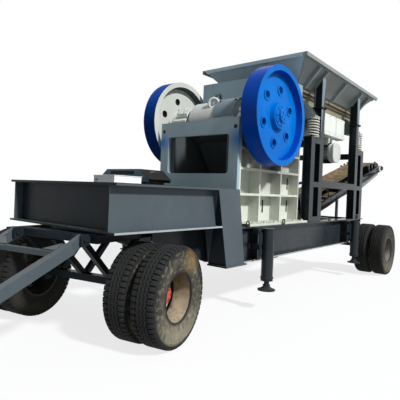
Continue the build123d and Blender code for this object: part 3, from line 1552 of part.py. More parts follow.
with BuildPart() as drawbar:
    for side in (-1, 1):
        hinge_y = side * hinge_half_spread
        strut(drawbar_point(0, hinge_y), drawbar_point(tongue_length, hinge_y), tongue_width, drawbar_member)
        strut(
            drawbar_point(tongue_length, hinge_y), drawbar_point(arm_tip_x, side * drawbar_nose_half_width),
            drawbar_member, drawbar_member,
        )
        tongue_end = drawbar_point(0, hinge_y)
        with BuildSketch(Plane(origin=tongue_end, x_dir=drawbar_plane.x_dir, z_dir=drawbar_plane.y_dir)):
            Circle(drawbar_member / 2)
        extrude(amount=tongue_width / 2, both=True)
    strut(
        drawbar_point(cross_bar_station, -cross_half_span, cross_bar_lift),
        drawbar_point(cross_bar_station, cross_half_span, cross_bar_lift), cross_bar_width, cross_bar_depth,
    )
    gusset_x = cross_bar_station - cross_bar_width / 2 + weld_sink
    with BuildSketch(drawbar_plane.offset(drawbar_member / 2 - gusset_thickness)):
        for side in (-1, 1):
            Polygon(
                (gusset_x, side * (cross_half_span + weld_sink)),
                (gusset_x, side * (cross_half_span - gusset_reach)),
                (gusset_x - gusset_run, side * (cross_half_span + weld_sink)), align=None,
            )
    extrude(amount=gusset_thickness)
    with BuildSketch(drawbar_plane):
        Polygon(
            (nose_plate_x, -nose_plate_half_width), (drawbar_length, -eye_root_half_width),
            (drawbar_length, eye_root_half_width), (nose_plate_x, nose_plate_half_width), align=None,
        )
        with Locations((drawbar_length, 0)):
            Circle(tow_eye_radius)
    extrude(amount=tow_eye_thickness / 2, both=True)
    with BuildSketch(drawbar_plane):
        with Locations((drawbar_length, 0)):
            Circle(tow_eye_bore_radius)
    extrude(amount=tow_eye_thickness, both=True, mode=Mode.SUBTRACT)
    for side in (-1, 1):
        across_axle(
            bogie, side * hinge_half_spread - tongue_width, side * hinge_half_spread + tongue_width,
            hinge_z, hinge_pin_radius + journal_clearance, x=-hinge_distance, mode=Mode.SUBTRACT,
        )
drawbar.part.label = "drawbar"
export_step(drawbar.part, "parts/drawbar.step")

# Drive motor in the open rear bay of the deck
drive_x = nose_x + motor_station
rail_top = motor_axis_height - motor_radius - motor_foot_drop
motor_near_y = motor_offset - motor_length / 2
motor_far_y = motor_offset + motor_length / 2
with BuildPart() as drive_motor:
    across_axle(Plane.XY, motor_near_y, motor_far_y, motor_axis_height, motor_radius, x=drive_x)
    across_axle(
        Plane.XY, motor_far_y, motor_far_y + motor_shaft_length, motor_axis_height, motor_shaft_radius,
        x=drive_x,
    )
    slab(
        drive_x - motor_radius, drive_x + motor_radius,
        motor_near_y + motor_shaft_length, motor_far_y - motor_shaft_length,
        rail_top, motor_axis_height - motor_radius + motor_foot_rise,
    )
drive_motor.part.label = "drive_motor"
export_step(drive_motor.part, "parts/drive_motor.step")

# Rails that carry the motor between the deck's cross beams
with BuildPart() as motor_rails:
    for y in (motor_offset - rail_spread, motor_offset + rail_spread):
        slab(
            nose_x + motor_cross_stations[0] - motor_rail_width / 2,
            nose_x + motor_cross_stations[1] + motor_rail_width / 2,
            y - motor_rail_width / 2, y + motor_rail_width / 2, deck_bottom + motor_cross_depth, rail_top,
        )
motor_rails.part.label = "motor_rails"
export_step(motor_rails.part, "parts/motor_rails.step")

# Low control cabinet on the deck plate
with BuildPart() as control_cabinet:
    length, width, height = cabinet_size
    slab(
        nose_x + cabinet_station, nose_x + cabinet_station + length,
        cabinet_offset - width / 2, cabinet_offset + width / 2,
        deck_top + deck_plate_thickness, deck_top + deck_plate_thickness + height,
    )
control_cabinet.part.label = "control_cabinet"
export_step(control_cabinet.part, "parts/control_cabinet.step")
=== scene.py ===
# Mobile jaw crushing plant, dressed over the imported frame. Metres, Z up, -Y is the near side.
import json
import math
import bmesh
import bpy
from mathutils import Matrix, Vector


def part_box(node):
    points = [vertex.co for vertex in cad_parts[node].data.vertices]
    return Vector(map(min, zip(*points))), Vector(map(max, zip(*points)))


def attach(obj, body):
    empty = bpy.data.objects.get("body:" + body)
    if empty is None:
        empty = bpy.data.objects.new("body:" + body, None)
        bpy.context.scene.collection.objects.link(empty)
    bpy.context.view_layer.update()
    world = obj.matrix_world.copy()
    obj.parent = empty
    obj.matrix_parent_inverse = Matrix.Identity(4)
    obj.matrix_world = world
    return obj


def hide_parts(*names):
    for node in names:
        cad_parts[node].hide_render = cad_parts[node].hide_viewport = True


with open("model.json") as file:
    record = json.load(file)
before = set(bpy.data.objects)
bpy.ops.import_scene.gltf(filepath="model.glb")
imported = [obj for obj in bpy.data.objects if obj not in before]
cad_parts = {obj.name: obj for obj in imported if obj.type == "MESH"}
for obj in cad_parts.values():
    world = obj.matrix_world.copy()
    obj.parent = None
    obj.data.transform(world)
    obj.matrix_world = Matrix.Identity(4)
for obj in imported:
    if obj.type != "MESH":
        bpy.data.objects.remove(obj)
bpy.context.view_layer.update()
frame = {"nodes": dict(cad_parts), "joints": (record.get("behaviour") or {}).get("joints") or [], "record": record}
nodes = frame["nodes"]
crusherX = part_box("crusher_back_wall")[0].x
print("frame loaded:", len(nodes), "nodes")


# colour and node helpers
def hexColour(text):
    channels = [int(text[i:i + 2], 16) / 255 for i in (1, 3, 5)]
    return tuple(c / 12.92 if c <= 0.04045 else ((c + 0.055) / 1.055) ** 2.4 for c in channels) + (1.0,)


def feed(tree, node, inputs):
    # sets a node's inputs by name or in their order; a socket or another node's first output is linked
    for key, value in inputs.items() if isinstance(inputs, dict) else enumerate(inputs):
        if isinstance(value, bpy.types.Node):
            value = value.outputs[0]
        if isinstance(value, bpy.types.NodeSocket):
            tree.links.new(value, node.inputs[key])
        else:
            node.inputs[key].default_value = value


def addNode(tree, kind, inputs=(), **settings):
    made = tree.nodes.new(kind)
    for key, value in settings.items():
        setattr(made, key, value)
    feed(tree, made, inputs)
    return made


def newMaterial(name):
    material = bpy.data.materials.new(name)
    material.use_nodes = True
    tree = material.node_tree
    where = addNode(tree, "ShaderNodeTexCoord").outputs["Object"]
    return material, tree, tree.nodes["Principled BSDF"], where


def blotches(tree, where, millimetres, low, high, detail=4.0):
    # patches of about this size: 0 where the noise is under low, 1 where it is over high
    look = {"Vector": where, "Scale": 1000 / millimetres, "Detail": detail, "Roughness": 0.6}
    return addNode(tree, "ShaderNodeMapRange", (addNode(tree, "ShaderNodeTexNoise", look), low, high))


def upwardFaces(tree):
    # 1 on faces that look up, where dust settles
    normal = addNode(tree, "ShaderNodeNewGeometry").outputs["Normal"]
    upright = addNode(tree, "ShaderNodeSeparateXYZ", (normal,)).outputs["Z"]
    return addNode(tree, "ShaderNodeMapRange", (upright, 0.5, 0.95))


def tinted(tree, colour, tint, pattern, amount=1.0):
    # lays a tint over a colour where the pattern is, as strongly as amount says
    share = addNode(tree, "ShaderNodeMath", (pattern, amount), operation="MULTIPLY")
    mixed = addNode(tree, "ShaderNodeMix", {0: share, 6: colour, 7: hexColour(tint)}, data_type="RGBA")
    return mixed.outputs[2]


# finishes: pattern sizes in millimetres and depths in metres; runs are 111 mm wide and ten times as long
enamelLook = {
    "coatSize": 620, "coatShade": 0.6, "grainSize": 60, "runStretch": (9.0, 9.0, 0.9), "peelSize": 14,
    "peelDepth": 0.0012, "peelStrength": 0.35, "roughRange": 0.16, "coatRoughness": 0.08, "cloudCore": 0.15,
}


def sprayedEnamel(name, paint, shade, dust, gloss, settled, grime, coat=0.0, mist=(), sheen=0.18):
    # alkyd enamel sprayed on rolled plate: broad uneven coats, dust on what faces up, tinted clouds about some
    # places, which on the crusher sides are painted shadow, and orange peel drawn coarser than the real one, so
    # that it shows
    material, tree, shader, where = newMaterial(name)
    coats = blotches(tree, where, enamelLook["coatSize"], 0.35, 0.7)
    grain = blotches(tree, where, enamelLook["grainSize"], 0.45, 0.75, detail=6)
    streaks = addNode(tree, "ShaderNodeMapping", {"Vector": where, "Scale": enamelLook["runStretch"]})
    runs = blotches(tree, streaks, 1000, 0.55, 0.8)
    lying = addNode(tree, "ShaderNodeMath", (grain, 0.45), operation="ADD")
    lying = addNode(tree, "ShaderNodeMath", (upwardFaces(tree), lying), operation="MULTIPLY")
    colour = tinted(tree, hexColour(paint), shade, coats, enamelLook["coatShade"])
    colour = tinted(tree, colour, dust, runs, grime)
    colour = tinted(tree, colour, dust, lying, settled)
    for place, radius, tint, amount in mist:
        away = addNode(tree, "ShaderNodeVectorMath", (where, place), operation="DISTANCE").outputs["Value"]
        cloud = addNode(tree, "ShaderNodeMapRange", (away, radius, radius * enamelLook["cloudCore"]))
        colour = tinted(tree, colour, tint, cloud, amount)
    peel = {
        "Height": blotches(tree, where, enamelLook["peelSize"], 0.3, 0.7, detail=2),
        "Distance": enamelLook["peelDepth"], "Strength": enamelLook["peelStrength"],
    }
    rough = (grain, 0, 1, gloss, gloss + enamelLook["roughRange"])
    feed(tree, shader, {
        "Base Color": colour, "Roughness": addNode(tree, "ShaderNodeMapRange", rough),
        "Specular IOR Level": sheen, "Normal": addNode(tree, "ShaderNodeBump", peel),
    })
    if coat:
        feed(tree, shader, {"Coat Weight": coat, "Coat Roughness": enamelLook["coatRoughness"]})
    return material


# blue clouds on the wall beside the window, and the flywheel's shadow painted on the upper bays of the side plates
wallMist = [((crusherX, 0.70, 2.31), 0.17, "#1173c8", 0.9), ((crusherX, -0.73, 2.30), 0.22, "#0f5fa8", 0.85)]
flywheelShadowClouds = [((crusherX + 1.30, side * 0.62, 2.28), 0.80, "#43453f", 0.85) for side in (-1, 1)]
flywheelShadowClouds += [((crusherX + 0.22, side * 0.62, 2.30), 0.42, "#262a2b", 0.95) for side in (-1, 1)]

# each enamel: its paint, the shade of its uneven coats and its dust, then its roughness, the dust lying on it
# and the strength of its runs
slateEnamel = sprayedEnamel("slateDeckEnamel", "#4b555b", "#3f484e", "#6b6960", 0.36, 0.22, 0.13)
# the charcoal's broad coats differ more than the others': uneven paint, and painted reflections on the glossy webs
charcoalEnamel = sprayedEnamel(
    "charcoalFrameEnamel", "#282f34", "#191e22", "#57554d", 0.18, 0.30, 0.12, sheen=0.16)
# painted shade: a near-black copy of the slate for faces that look forward and for the bogie under the deck
shadedNoseEnamel = sprayedEnamel("darkNoseEnamel", "#20272d", "#1a2025", "#3a3b3a", 0.30, 0.15, 0.10, sheen=0.08)
greyEnamel = sprayedEnamel("greyPlateEnamel", "#73848d", "#64757e", "#8a8474", 0.45, 0.35, 0.22)
wallEnamel = sprayedEnamel("greyWallEnamel", "#9aafb7", "#8a9ea6", "#8a8474", 0.45, 0.35, 0.20, mist=wallMist)
# the crusher sides: a greyer copy of the off-white, with clouds of painted shadow under the flywheel
sideEnamel = sprayedEnamel("greasedSideEnamel", "#cfd2c8", "#bbbfb4", "#86826f", 0.42, 0.45, 0.30,
    mist=flywheelShadowClouds)
seatEnamel = sprayedEnamel("springSeatEnamel", "#818f8b", "#6f7c78", "#8d8977", 0.42, 0.35, 0.3)
# painted light: a paler, bluer copy of the hopper grey for the ends, which catch light from the floor and sky
hopperEndEnamel = sprayedEnamel("hopperEndEnamel", "#b5c8d3", "#a0b3be", "#96928a", 0.40, 0.30, 0.20)
hoodEnamel = sprayedEnamel("feedHoodEnamel", "#90a6b2", "#80959f", "#8a8474", 0.42, 0.30, 0.16)
troughEnamel = sprayedEnamel("dustedTroughEnamel", "#8d8672", "#746e5e", "#9a8e72", 0.55, 0.5, 0.6)
# pale grey on the tips of the bottom flanges
paleFlangeTips = sprayedEnamel("wornFlangeEdge", "#a9aeb0", "#858b8e", "#7a766b", 0.35, 0.3, 0.35)
hopperEnamel = sprayedEnamel("dustedHopperEnamel", "#8b9296", "#7d8178", "#968d76", 0.50, 0.40, 0.55)
whiteEnamel = sprayedEnamel("offWhiteEnamel", "#dfe1d9", "#cacdc4", "#8f8b7d", 0.42, 0.45, 0.22)
panelWhite = sprayedEnamel("whitePanelEnamel", "#f4f5f3", "#ebece9", "#b8b4a8", 0.35, 0.15, 0.05)
blueEnamel = sprayedEnamel(
    "azureGlossEnamel", "#006cc4", "#0051a2", "#1f64a6", 0.24, 0.01, 0.01, coat=0.06, sheen=0.03)
# painted shade: a darker copy of the azure for the far pulley, which stands in shade
shadedPulleyBlue = sprayedEnamel(
    "deepBlueGlossEnamel", "#043a86", "#032c6c", "#1d3f6c", 0.24, 0.03, 0.03, coat=0.05, sheen=0.03)
# painted shade: a darker copy of the azure for the flywheel's rim faces that look forward and inward
navyPaintedShade = sprayedEnamel(
    "navyShadedEnamel", "#0046ac", "#00348c", "#1d3f6c", 0.26, 0.01, 0.02, coat=0.05, sheen=0.03)
machineWhite = sprayedEnamel("machineWhiteEnamel", "#dde1dc", "#cdd1cb", "#96917f", 0.42, 0.3, 0.22)
castingPaint = sprayedEnamel("paintedCasting", "#c9ccc9", "#b3b8b6", "#918d80", 0.45, 0.25, 0.28)
motorEnamel = sprayedEnamel("motorHammerEnamel", "#506b7a", "#415a69", "#5f6a70", 0.30, 0.12, 0.12)
blackTube = sprayedEnamel("blackTubeEnamel", "#1c1d1f", "#262626", "#6a6356", 0.45, 0.6, 0.35)
# dark grey inside the crusher and in the pulley's hollow: scale inside the chamber, and painted shade in the
# recesses and hollows
scaleAndShadeGrey = sprayedEnamel("dustyInnerScale", "#4a5053", "#3a3f42", "#575449", 0.55, 0.55, 0.45)
pulleyWhite = sprayedEnamel("creamPulleyEnamel", "#c4c7c0", "#b2b5ad", "#8f8c80", 0.40, 0.25, 0.25)
silverRim = sprayedEnamel("silverRimEnamel", "#8e908e", "#777977", "#6d675c", 0.35, 0.3, 0.5)
# painted shade: a dark copy of the rim paint for the far wheels, which stand in shade
shadedRim = sprayedEnamel("sootedRimEnamel", "#3b3833", "#2c2a27", "#5a5244", 0.55, 0.4, 0.5)
# black paint on some parts, and painted shade where it fills holes, slots and the gaps of the springs
shadeBlack = sprayedEnamel("sootBlackEnamel", "#121314", "#0c0d0e", "#1c1b19", 0.6, 0.1, 0.1)
springPaint = sprayedEnamel("paleSpringEnamel", "#d6d4c8", "#c3c1b5", "#9a937f", 0.4, 0.3, 0.25)
rimEnamel = sprayedEnamel("dustyRimEnamel", "#a59a80", "#8b8068", "#8d8265", 0.55, 0.5, 0.5)
zincBolt = sprayedEnamel("zincPlatedBolt", "#8f9190", "#6f7172", "#6d675c", 0.32, 0.3, 0.3)
zincBolt.node_tree.nodes["Principled BSDF"].inputs["Metallic"].default_value = 0.8
rustyNut = sprayedEnamel("rustyNut", "#6b4a37", "#4c3428", "#8c6b4c", 0.7, 0.3, 0.4)
lockRingPaint = sprayedEnamel("blackLockRingEnamel", "#27282b", "#1e1f21", "#5d584d", 0.4, 0.3, 0.25)
hubPrimer = sprayedEnamel("redOxideHubPrimer", "#c9583f", "#b04a35", "#8d6a54", 0.5, 0.25, 0.25)


def mudCaked(material, mud, dark):
    # clods of dried mud over a paint, with darker wet stains, and painted shade above hub height
    tree = material.node_tree
    shader, where = tree.nodes["Principled BSDF"], tree.nodes["Texture Coordinate"].outputs["Object"]
    colour = shader.inputs["Base Color"].links[0].from_socket
    height = addNode(tree, "ShaderNodeSeparateXYZ", (where,)).outputs["Z"]
    clods = blotches(tree, where, 90, 0.46, 0.56, detail=8)
    stains = blotches(tree, where, 150, 0.52, 0.66, detail=8)
    above = addNode(tree, "ShaderNodeMapRange", (height, 0.46, 0.72))
    for tint, pattern, amount in ((mud, clods, 0.75), (dark, stains, 0.85), (dark, above, 0.80)):
        colour = tinted(tree, colour, tint, pattern, amount)
    feed(tree, shader, {"Base Color": colour})


mudCaked(rimEnamel, "#b5a68e", "#54463a")
mudCaked(silverRim, "#9a968c", "#4a453e")


def manganeseCasting():
    # as-cast manganese steel: dark scale polished by rock on its ridges, its pits coarser than real ones
    material, tree, shader, where = newMaterial("manganeseSteelCasting")
    worn = blotches(tree, where, 45, 0.45, 0.65)
    pits = {"Height": blotches(tree, where, 18, 0.2, 0.8), "Distance": 0.004, "Strength": 0.6}
    feed(tree, shader, {
        "Base Color": tinted(tree, hexColour("#3a3632"), "#6f6860", worn), "Metallic": 0.6,
        "Roughness": addNode(tree, "ShaderNodeMapRange", (worn, 0, 1, 0.65, 0.4)),
        "Normal": addNode(tree, "ShaderNodeBump", pits),
    })
    return material


def turnedSteel():
    # shaft steel turned on a lathe, lightly oiled, its tool marks coarser than real ones so that they show
    material, tree, shader, where = newMaterial("turnedShaftSteel")
    marks = (3.0, 260.0, 3.0)      # to a metre: one tool mark in 3.8 mm along the shaft
    drawn = addNode(tree, "ShaderNodeMapping", {"Vector": where, "Scale": marks})
    rings = addNode(tree, "ShaderNodeTexNoise", {"Vector": drawn, "Scale": 1.0, "Detail": 3.0})
    feed(tree, shader, {
        "Base Color": hexColour("#a6a7a6"), "Metallic": 1.0,
        "Roughness": addNode(tree, "ShaderNodeMapRange", (rings, 0, 1, 0.22, 0.42)),
        "Normal": addNode(tree, "ShaderNodeBump", {"Height": rings, "Distance": 0.0008, "Strength": 0.4}),
    })
    return material


def beltRubber():
    # fabric belting: dull rubber under a coat of tan stone dust, its grain coarser than the real weave
    material, tree, shader, where = newMaterial("dustyBeltRubber")
    dust = blotches(tree, where, 160, 0.3, 0.62)
    weave = {"Height": blotches(tree, where, 12, 0.3, 0.7), "Distance": 0.002, "Strength": 0.5}
    feed(tree, shader, {
        "Base Color": tinted(tree, hexColour("#3b342b"), "#7d6a50", dust), "Roughness": 0.85,
        "Specular IOR Level": 0.18, "Normal": addNode(tree, "ShaderNodeBump", weave),
    })
    return material


# colours of a tyre from its bead to its tread, as shares of the way from 0.25 to 0.51 m off the axle
tyreBands = (
    (0.0, "#17181a"), (0.07, "#1d1e20"), (0.13, "#4d4941"), (0.45, "#525045"), (0.62, "#3a3934"),
    (0.74, "#262625"), (0.90, "#16181a"), (0.985, "#26282a"),
)


def tyreRubber(name, mud):
    # carbon-black rubber: sidewalls browned by dried mud, paler low down, grey dust on the tread, and a grain
    # coarser than the real one, so that it shows
    material, tree, shader, where = newMaterial(name)
    reach, stain = (
        addNode(tree, "ShaderNodeAttribute", attribute_name=key).outputs["Fac"] for key in ("reach", "stain"))
    blotch = blotches(tree, where, 70, 0.35, 0.68, detail=6)
    fine = blotches(tree, where, 16, 0.35, 0.7)
    speckle = blotches(tree, where, 48, 0.50, 0.72, detail=10)
    scuff = blotches(tree, where, 80, 0.52, 0.66, detail=10)
    bands = addNode(tree, "ShaderNodeValToRGB", (addNode(tree, "ShaderNodeMapRange", (reach, 0.25, 0.51)),))
    stops = bands.color_ramp.elements
    for index, (spot, colour) in enumerate(tyreBands):
        stop = stops[index] if index < 2 else stops.new(spot)
        stop.position, stop.color = spot, hexColour(colour)
    wall = addNode(tree, "ShaderNodeMapRange", (reach, 0.47, 0.44))
    height = addNode(tree, "ShaderNodeSeparateXYZ", (where,)).outputs["Z"]
    lowDown = addNode(tree, "ShaderNodeMapRange", (height, 0.42, 0.12))
    splashed = addNode(tree, "ShaderNodeMath", (wall, lowDown), operation="MULTIPLY")
    speckled = addNode(tree, "ShaderNodeMath", (wall, speckle), operation="MULTIPLY")
    spread = addNode(tree, "ShaderNodeMath", (blotch, 0.5), operation="ADD")
    patch = addNode(tree, "ShaderNodeMath", (stain, spread), operation="MULTIPLY", use_clamp=True)
    clean = {0: mud, 6: hexColour("#1c1d1e"), 7: bands}
    colour = addNode(tree, "ShaderNodeMix", clean, data_type="RGBA").outputs[2]
    for tint, pattern, amount in (
        ("#2b2a26", blotch, 0.55), ("#232321", fine, 0.30), ("#98917c", splashed, 0.62 * mud),
        ("#a09b88", speckled, 0.55 * mud), ("#26251f", scuff, 0.60), ("#8c7142", patch, 0.75),
    ):
        colour = tinted(tree, colour, tint, pattern, amount)
    feed(tree, shader, {
        "Base Color": colour, "Roughness": 0.82, "Specular IOR Level": 0.18,
        "Normal": addNode(tree, "ShaderNodeBump", {"Height": fine, "Distance": 0.0015, "Strength": 0.5}),
    })
    return material


manganese = manganeseCasting()
shaftSteel = turnedSteel()
belting = beltRubber()
rubber = tyreRubber("wornTyreRubber", 1.0)
greyRubber = tyreRubber("dustyTyreRubber", 0.45)
darkRubber = tyreRubber("shadedTyreRubber", 0.10)

# finishes by slot, and the nodes that have one of their own
finishes = {
    "chassis_paint": slateEnamel, "grey_paint": greyEnamel, "white_primer": whiteEnamel,
    "blue_paint": blueEnamel, "cast_paint": castingPaint, "manganese_steel": manganese,
    "bare_steel": shaftSteel, "spring_steel": springPaint, "motor_paint": motorEnamel, "belt_rubber": belting,
    "roller_steel": blackTube, "tyre_rubber": rubber, "rim_paint": rimEnamel,
}
ownFinish = {
    "hopper_sides": hopperEnamel, "hopper_ends": hopperEndEnamel, "control_cabinet": panelWhite,
    "drive_pulley": shadedPulleyBlue, "toggle_seat": scaleAndShadeGrey, "cheek_plates": scaleAndShadeGrey,
    # the bogie frame and front axle under the deck take the painted shade
    "crusher_back_wall": wallEnamel, "spring_seats": seatEnamel, "bogie_frame": shadedNoseEnamel,
    "front_axle": shadedNoseEnamel, "feeder_trough": troughEnamel, "feed_hood": hoodEnamel,
    "exciter_cases": machineWhite, "crusher_side_near": sideEnamel, "crusher_side_far": sideEnamel,
}
charcoalNodes = (
    "haunches", "main_beams", "chassis_cross_beams", "kingpin_plate", "support_frame_near",
    "support_frame_far", "frame_ties", "rear_axle", "jack_tubes", "tail_hangers", "conveyor_frame",
    "deck_plate", "jack_leg_front_near", "jack_leg_front_far", "jack_leg_rear_near", "jack_leg_rear_far",
)
ownFinish.update({node: charcoalEnamel for node in charcoalNodes})
for part in frame["record"]["subparts"]:
    mesh = nodes[part["node"]].data
    mesh.materials.clear()
    mesh.materials.append(ownFinish.get(part["node"], finishes[part["material_slot"]]))
print("finishes on", len(nodes), "nodes")


# second paints on some faces of a node
shaftJoint = next(joint for joint in frame["joints"] if joint["child"] == "rotor")
shaftX, shaftZ = shaftJoint["pos_m"][0], shaftJoint["pos_m"][2]
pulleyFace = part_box("drive_pulley")[0].y
paintLimits = {
    "webRadius": 0.63, "webDepth": 0.004, "hubRadius": 0.22, "hubEnd": 0.95, "hollowRim": (0.58, 0.67),
    "hollowEnd": 0.93, "holeBand": (0.30, 0.48), "flywheelRim": 0.64, "flywheelInside": 0.50,
    "chamberHalfWidth": 0.56, "sideEdge": 0.08, "footTop": 2.6, "footLow": 2.45, "footRadius": 0.345,
    "lugRadius": 0.33, "lugBottom": 2.9, "neckTop": 1.2, "edgeOut": 0.95, "deckEdgeTop": 1.2,
    "beamEdgeTop": 0.69, "postPaintBottom": 2.75,
}


def paintFaces(node, finish, wanted):
    # a second paint on the faces of a node that wanted(place, way) picks
    piece = nodes[node]
    piece.data.materials.append(finish)
    turn = piece.matrix_world.to_3x3()
    for face in piece.data.polygons:
        if wanted(piece.matrix_world @ face.center, turn @ face.normal):
            face.material_index = len(piece.data.materials) - 1


def fromShaft(place, way):
    # distance from the shaft's axis, and how far the face looks away from it
    out = Vector((place.x - shaftX, 0, place.z - shaftZ))
    return out.length, way.dot(out.normalized())


def pulleyWeb(place, way):
    reach = fromShaft(place, way)[0]
    webFace = reach < paintLimits["webRadius"] or place.y < pulleyFace + paintLimits["webDepth"]
    hub = reach < paintLimits["hubRadius"] and place.y < paintLimits["hubEnd"]
    return (way.y < -0.5 and webFace) or hub


# painted shade in the hollow under the pulley's rim and on the walls of its holes
def pulleyHollowShade(place, way):
    reach, outward = fromShaft(place, way)
    rimLow, rimHigh = paintLimits["hollowRim"]
    holeLow, holeHigh = paintLimits["holeBand"]
    underRim = rimLow < reach < rimHigh and outward < -0.5 and place.y < paintLimits["hollowEnd"]
    return underRim or (holeLow < reach < holeHigh and abs(way.y) < 0.5)


# the flywheel's rim faces that look forward, and those that look in towards the shaft, take the painted shade
def flywheelShadedFaces(place, way):
    reach, outward = fromShaft(place, way)
    frontOfRim = reach > paintLimits["flywheelRim"] and outward > 0.5 and way.x < -0.1
    return frontOfRim or (reach > paintLimits["flywheelInside"] and outward < -0.5)


# faces inside the chamber, and the front edges of the side plates, which take the dark grey of scale and painted
# shade
def sideInside(place, way):
    inside = abs(place.y) < paintLimits["chamberHalfWidth"] and way.y * place.y < -0.2
    return inside or (way.x < -0.5 and place.x < crusherX + paintLimits["sideEdge"])


def pitmanFoot(place, way):
    low = fromShaft(place, way)[0] > paintLimits["footRadius"] or place.z < paintLimits["footLow"]
    return place.z < paintLimits["footTop"] and low


def pitmanLug(place, way):
    return fromShaft(place, way)[0] > paintLimits["lugRadius"] and place.z > paintLimits["lugBottom"]


# faces that look forward, which take painted shade
def facesFront(place, way):
    return way.x < -0.5


# the front faces of the swan necks below the deck, which take painted shade
def neckFront(place, way):
    return way.x < -0.5 and place.z < paintLimits["neckTop"]


def flangeEdge(top):
    return lambda place, way: abs(way.y) > 0.9 and abs(place.y) > paintLimits["edgeOut"] and place.z < top


def postSide(place, way):
    return abs(way.y) > 0.9 and place.z > paintLimits["postPaintBottom"]


for node, finish, wanted in (
    ("drive_pulley", pulleyWhite, pulleyWeb), ("drive_pulley", scaleAndShadeGrey, pulleyHollowShade),
    ("crusher_side_near", scaleAndShadeGrey, sideInside), ("crusher_side_far", scaleAndShadeGrey, sideInside),
    ("flywheel", navyPaintedShade, flywheelShadedFaces), ("crusher_back_wall", scaleAndShadeGrey, lambda place, way: way.x > 0.5),
    ("crusher_front_wall", scaleAndShadeGrey, lambda place, way: way.x < -0.3), ("pitman", scaleAndShadeGrey, pitmanFoot),
    ("pitman", slateEnamel, pitmanLug), ("deck_beams", shadedNoseEnamel, facesFront),
    ("deck_cross_beams", shadedNoseEnamel, facesFront), ("swan_necks", shadedNoseEnamel, neckFront),
    ("deck_beams", paleFlangeTips, flangeEdge(paintLimits["deckEdgeTop"])),
    ("support_frame_near", greyEnamel, postSide), ("support_frame_far", greyEnamel, postSide),
    ("main_beams", paleFlangeTips, flangeEdge(paintLimits["beamEdgeTop"])),
):
    paintFaces(node, finish, wanted)
print("second paints done")


# shapes shared by several pieces
def shadeByAngle(mesh, degrees):
    work = bmesh.new()
    work.from_mesh(mesh)
    limit = math.radians(degrees)
    for face in work.faces:
        face.smooth = True
    for edge in work.edges:
        edge.smooth = len(edge.link_faces) == 2 and edge.calc_face_angle(0) < limit
    work.to_mesh(mesh)
    work.free()


def meshOf(work, name, weld=1e-6):
    if weld:
        bmesh.ops.remove_doubles(work, verts=work.verts, dist=weld)
    bmesh.ops.recalc_face_normals(work, faces=work.faces)
    mesh = bpy.data.meshes.new(name)
    work.to_mesh(mesh)
    work.free()
    return mesh


def finishPiece(name, shape, body, materials=(), smoothAngle=None, oldNode=None, weld=1e-6):
    # a finished piece from a mesh or from work on one: its place is in its mesh, and it rides on a body
    mesh = meshOf(shape, name, weld) if isinstance(shape, bmesh.types.BMesh) else shape
    for material in materials:
        mesh.materials.append(material)
    piece = bpy.data.objects.new(name, mesh)
    bpy.context.collection.objects.link(piece)
    if smoothAngle is not None:
        shadeByAngle(mesh, smoothAngle)
    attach(piece, body)
    if oldNode:
        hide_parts(oldNode)


def polar(radius, angle):
    return radius * math.cos(angle), radius * math.sin(angle)


def skinRings(work, rings, closed=True, looped=False, materialIndex=0):
    # faces between neighbouring rings; the end rings are capped unless the rings run in a loop
    for one, two in zip(rings, rings[1:] + rings[:1] if looped else rings[1:]):
        for index in range(len(one) if closed else len(one) - 1):
            after = (index + 1) % len(one)
            work.faces.new((one[index], one[after], two[after], two[index])).material_index = materialIndex
    if not looped:
        for ring in (rings[0], rings[-1]):
            work.faces.new(ring).material_index = materialIndex


def addLathe(work, matrix, profile, segments, materialIndex=0, closed=True, start=0.0, sweep=None):
    # turns (radius, along) points about the frame's Z axis, all the way or through a sweep with capped ends
    layer = work.verts.layers.float.get("reach") or work.verts.layers.float.new("reach")
    rings = []
    for step in range(segments + 1 if sweep else segments):
        angle = start + (sweep or 2 * math.pi) * step / segments
        ring = [work.verts.new(matrix @ Vector((*polar(radius, angle), along))) for radius, along in profile]
        for vert, (radius, along) in zip(ring, profile):
            vert[layer] = radius
        rings.append(ring)
    skinRings(work, rings, closed, not sweep, materialIndex)


def addDisc(work, matrix, radius, low, high, segments, materialIndex=0):
    profile = [(0.0, low), (radius, low), (radius, high), (0.0, high)]
    addLathe(work, matrix, profile, segments, materialIndex, closed=False)


def addRing(work, matrix, reach, thick, segments=32):
    section = [polar(thick, math.pi * step / 5) for step in range(10)]
    addLathe(work, matrix, [(reach + out, along) for out, along in section], segments)


def addBox(work, low, high, bevel=0.0, materialIndex=0, matrix=None):
    made = bmesh.ops.create_cube(work, size=1.0)["verts"]
    size = Vector(high) - Vector(low)
    middle = (Vector(high) + Vector(low)) / 2
    for vert in made:
        vert.co = Vector((vert.co.x * size.x, vert.co.y * size.y, vert.co.z * size.z)) + middle
    faces = {face for vert in made for face in vert.link_faces}
    if bevel:
        edges = {edge for face in faces for edge in face.edges}
        cut = bmesh.ops.bevel(work, geom=list(edges), offset=bevel, segments=2, profile=0.5, affect="EDGES")
        faces = {face for vert in cut["verts"] for face in vert.link_faces}
    for face in faces:
        face.material_index = materialIndex
    if matrix is not None:
        for vert in {vert for face in faces for vert in face.verts}:
            vert.co = matrix @ vert.co


def addSideBox(work, side, xs, outs, zs, matrix=None, materialIndex=0):
    # a box on one side of the plant, with outs measured from its middle plane
    low, high = sorted(side * out for out in outs)
    addBox(work, (xs[0], low, zs[0]), (xs[1], high, zs[1]), 0.0, materialIndex, matrix)


def addPlate(work, outline, thickness, matrix, materialIndex=0):
    # a flat plate cut to an outline in the frame's XY plane, thickness along its Z
    rings = [[work.verts.new(matrix @ Vector((x, y, z))) for x, y in outline] for z in (0, thickness)]
    skinRings(work, rings, materialIndex=materialIndex)


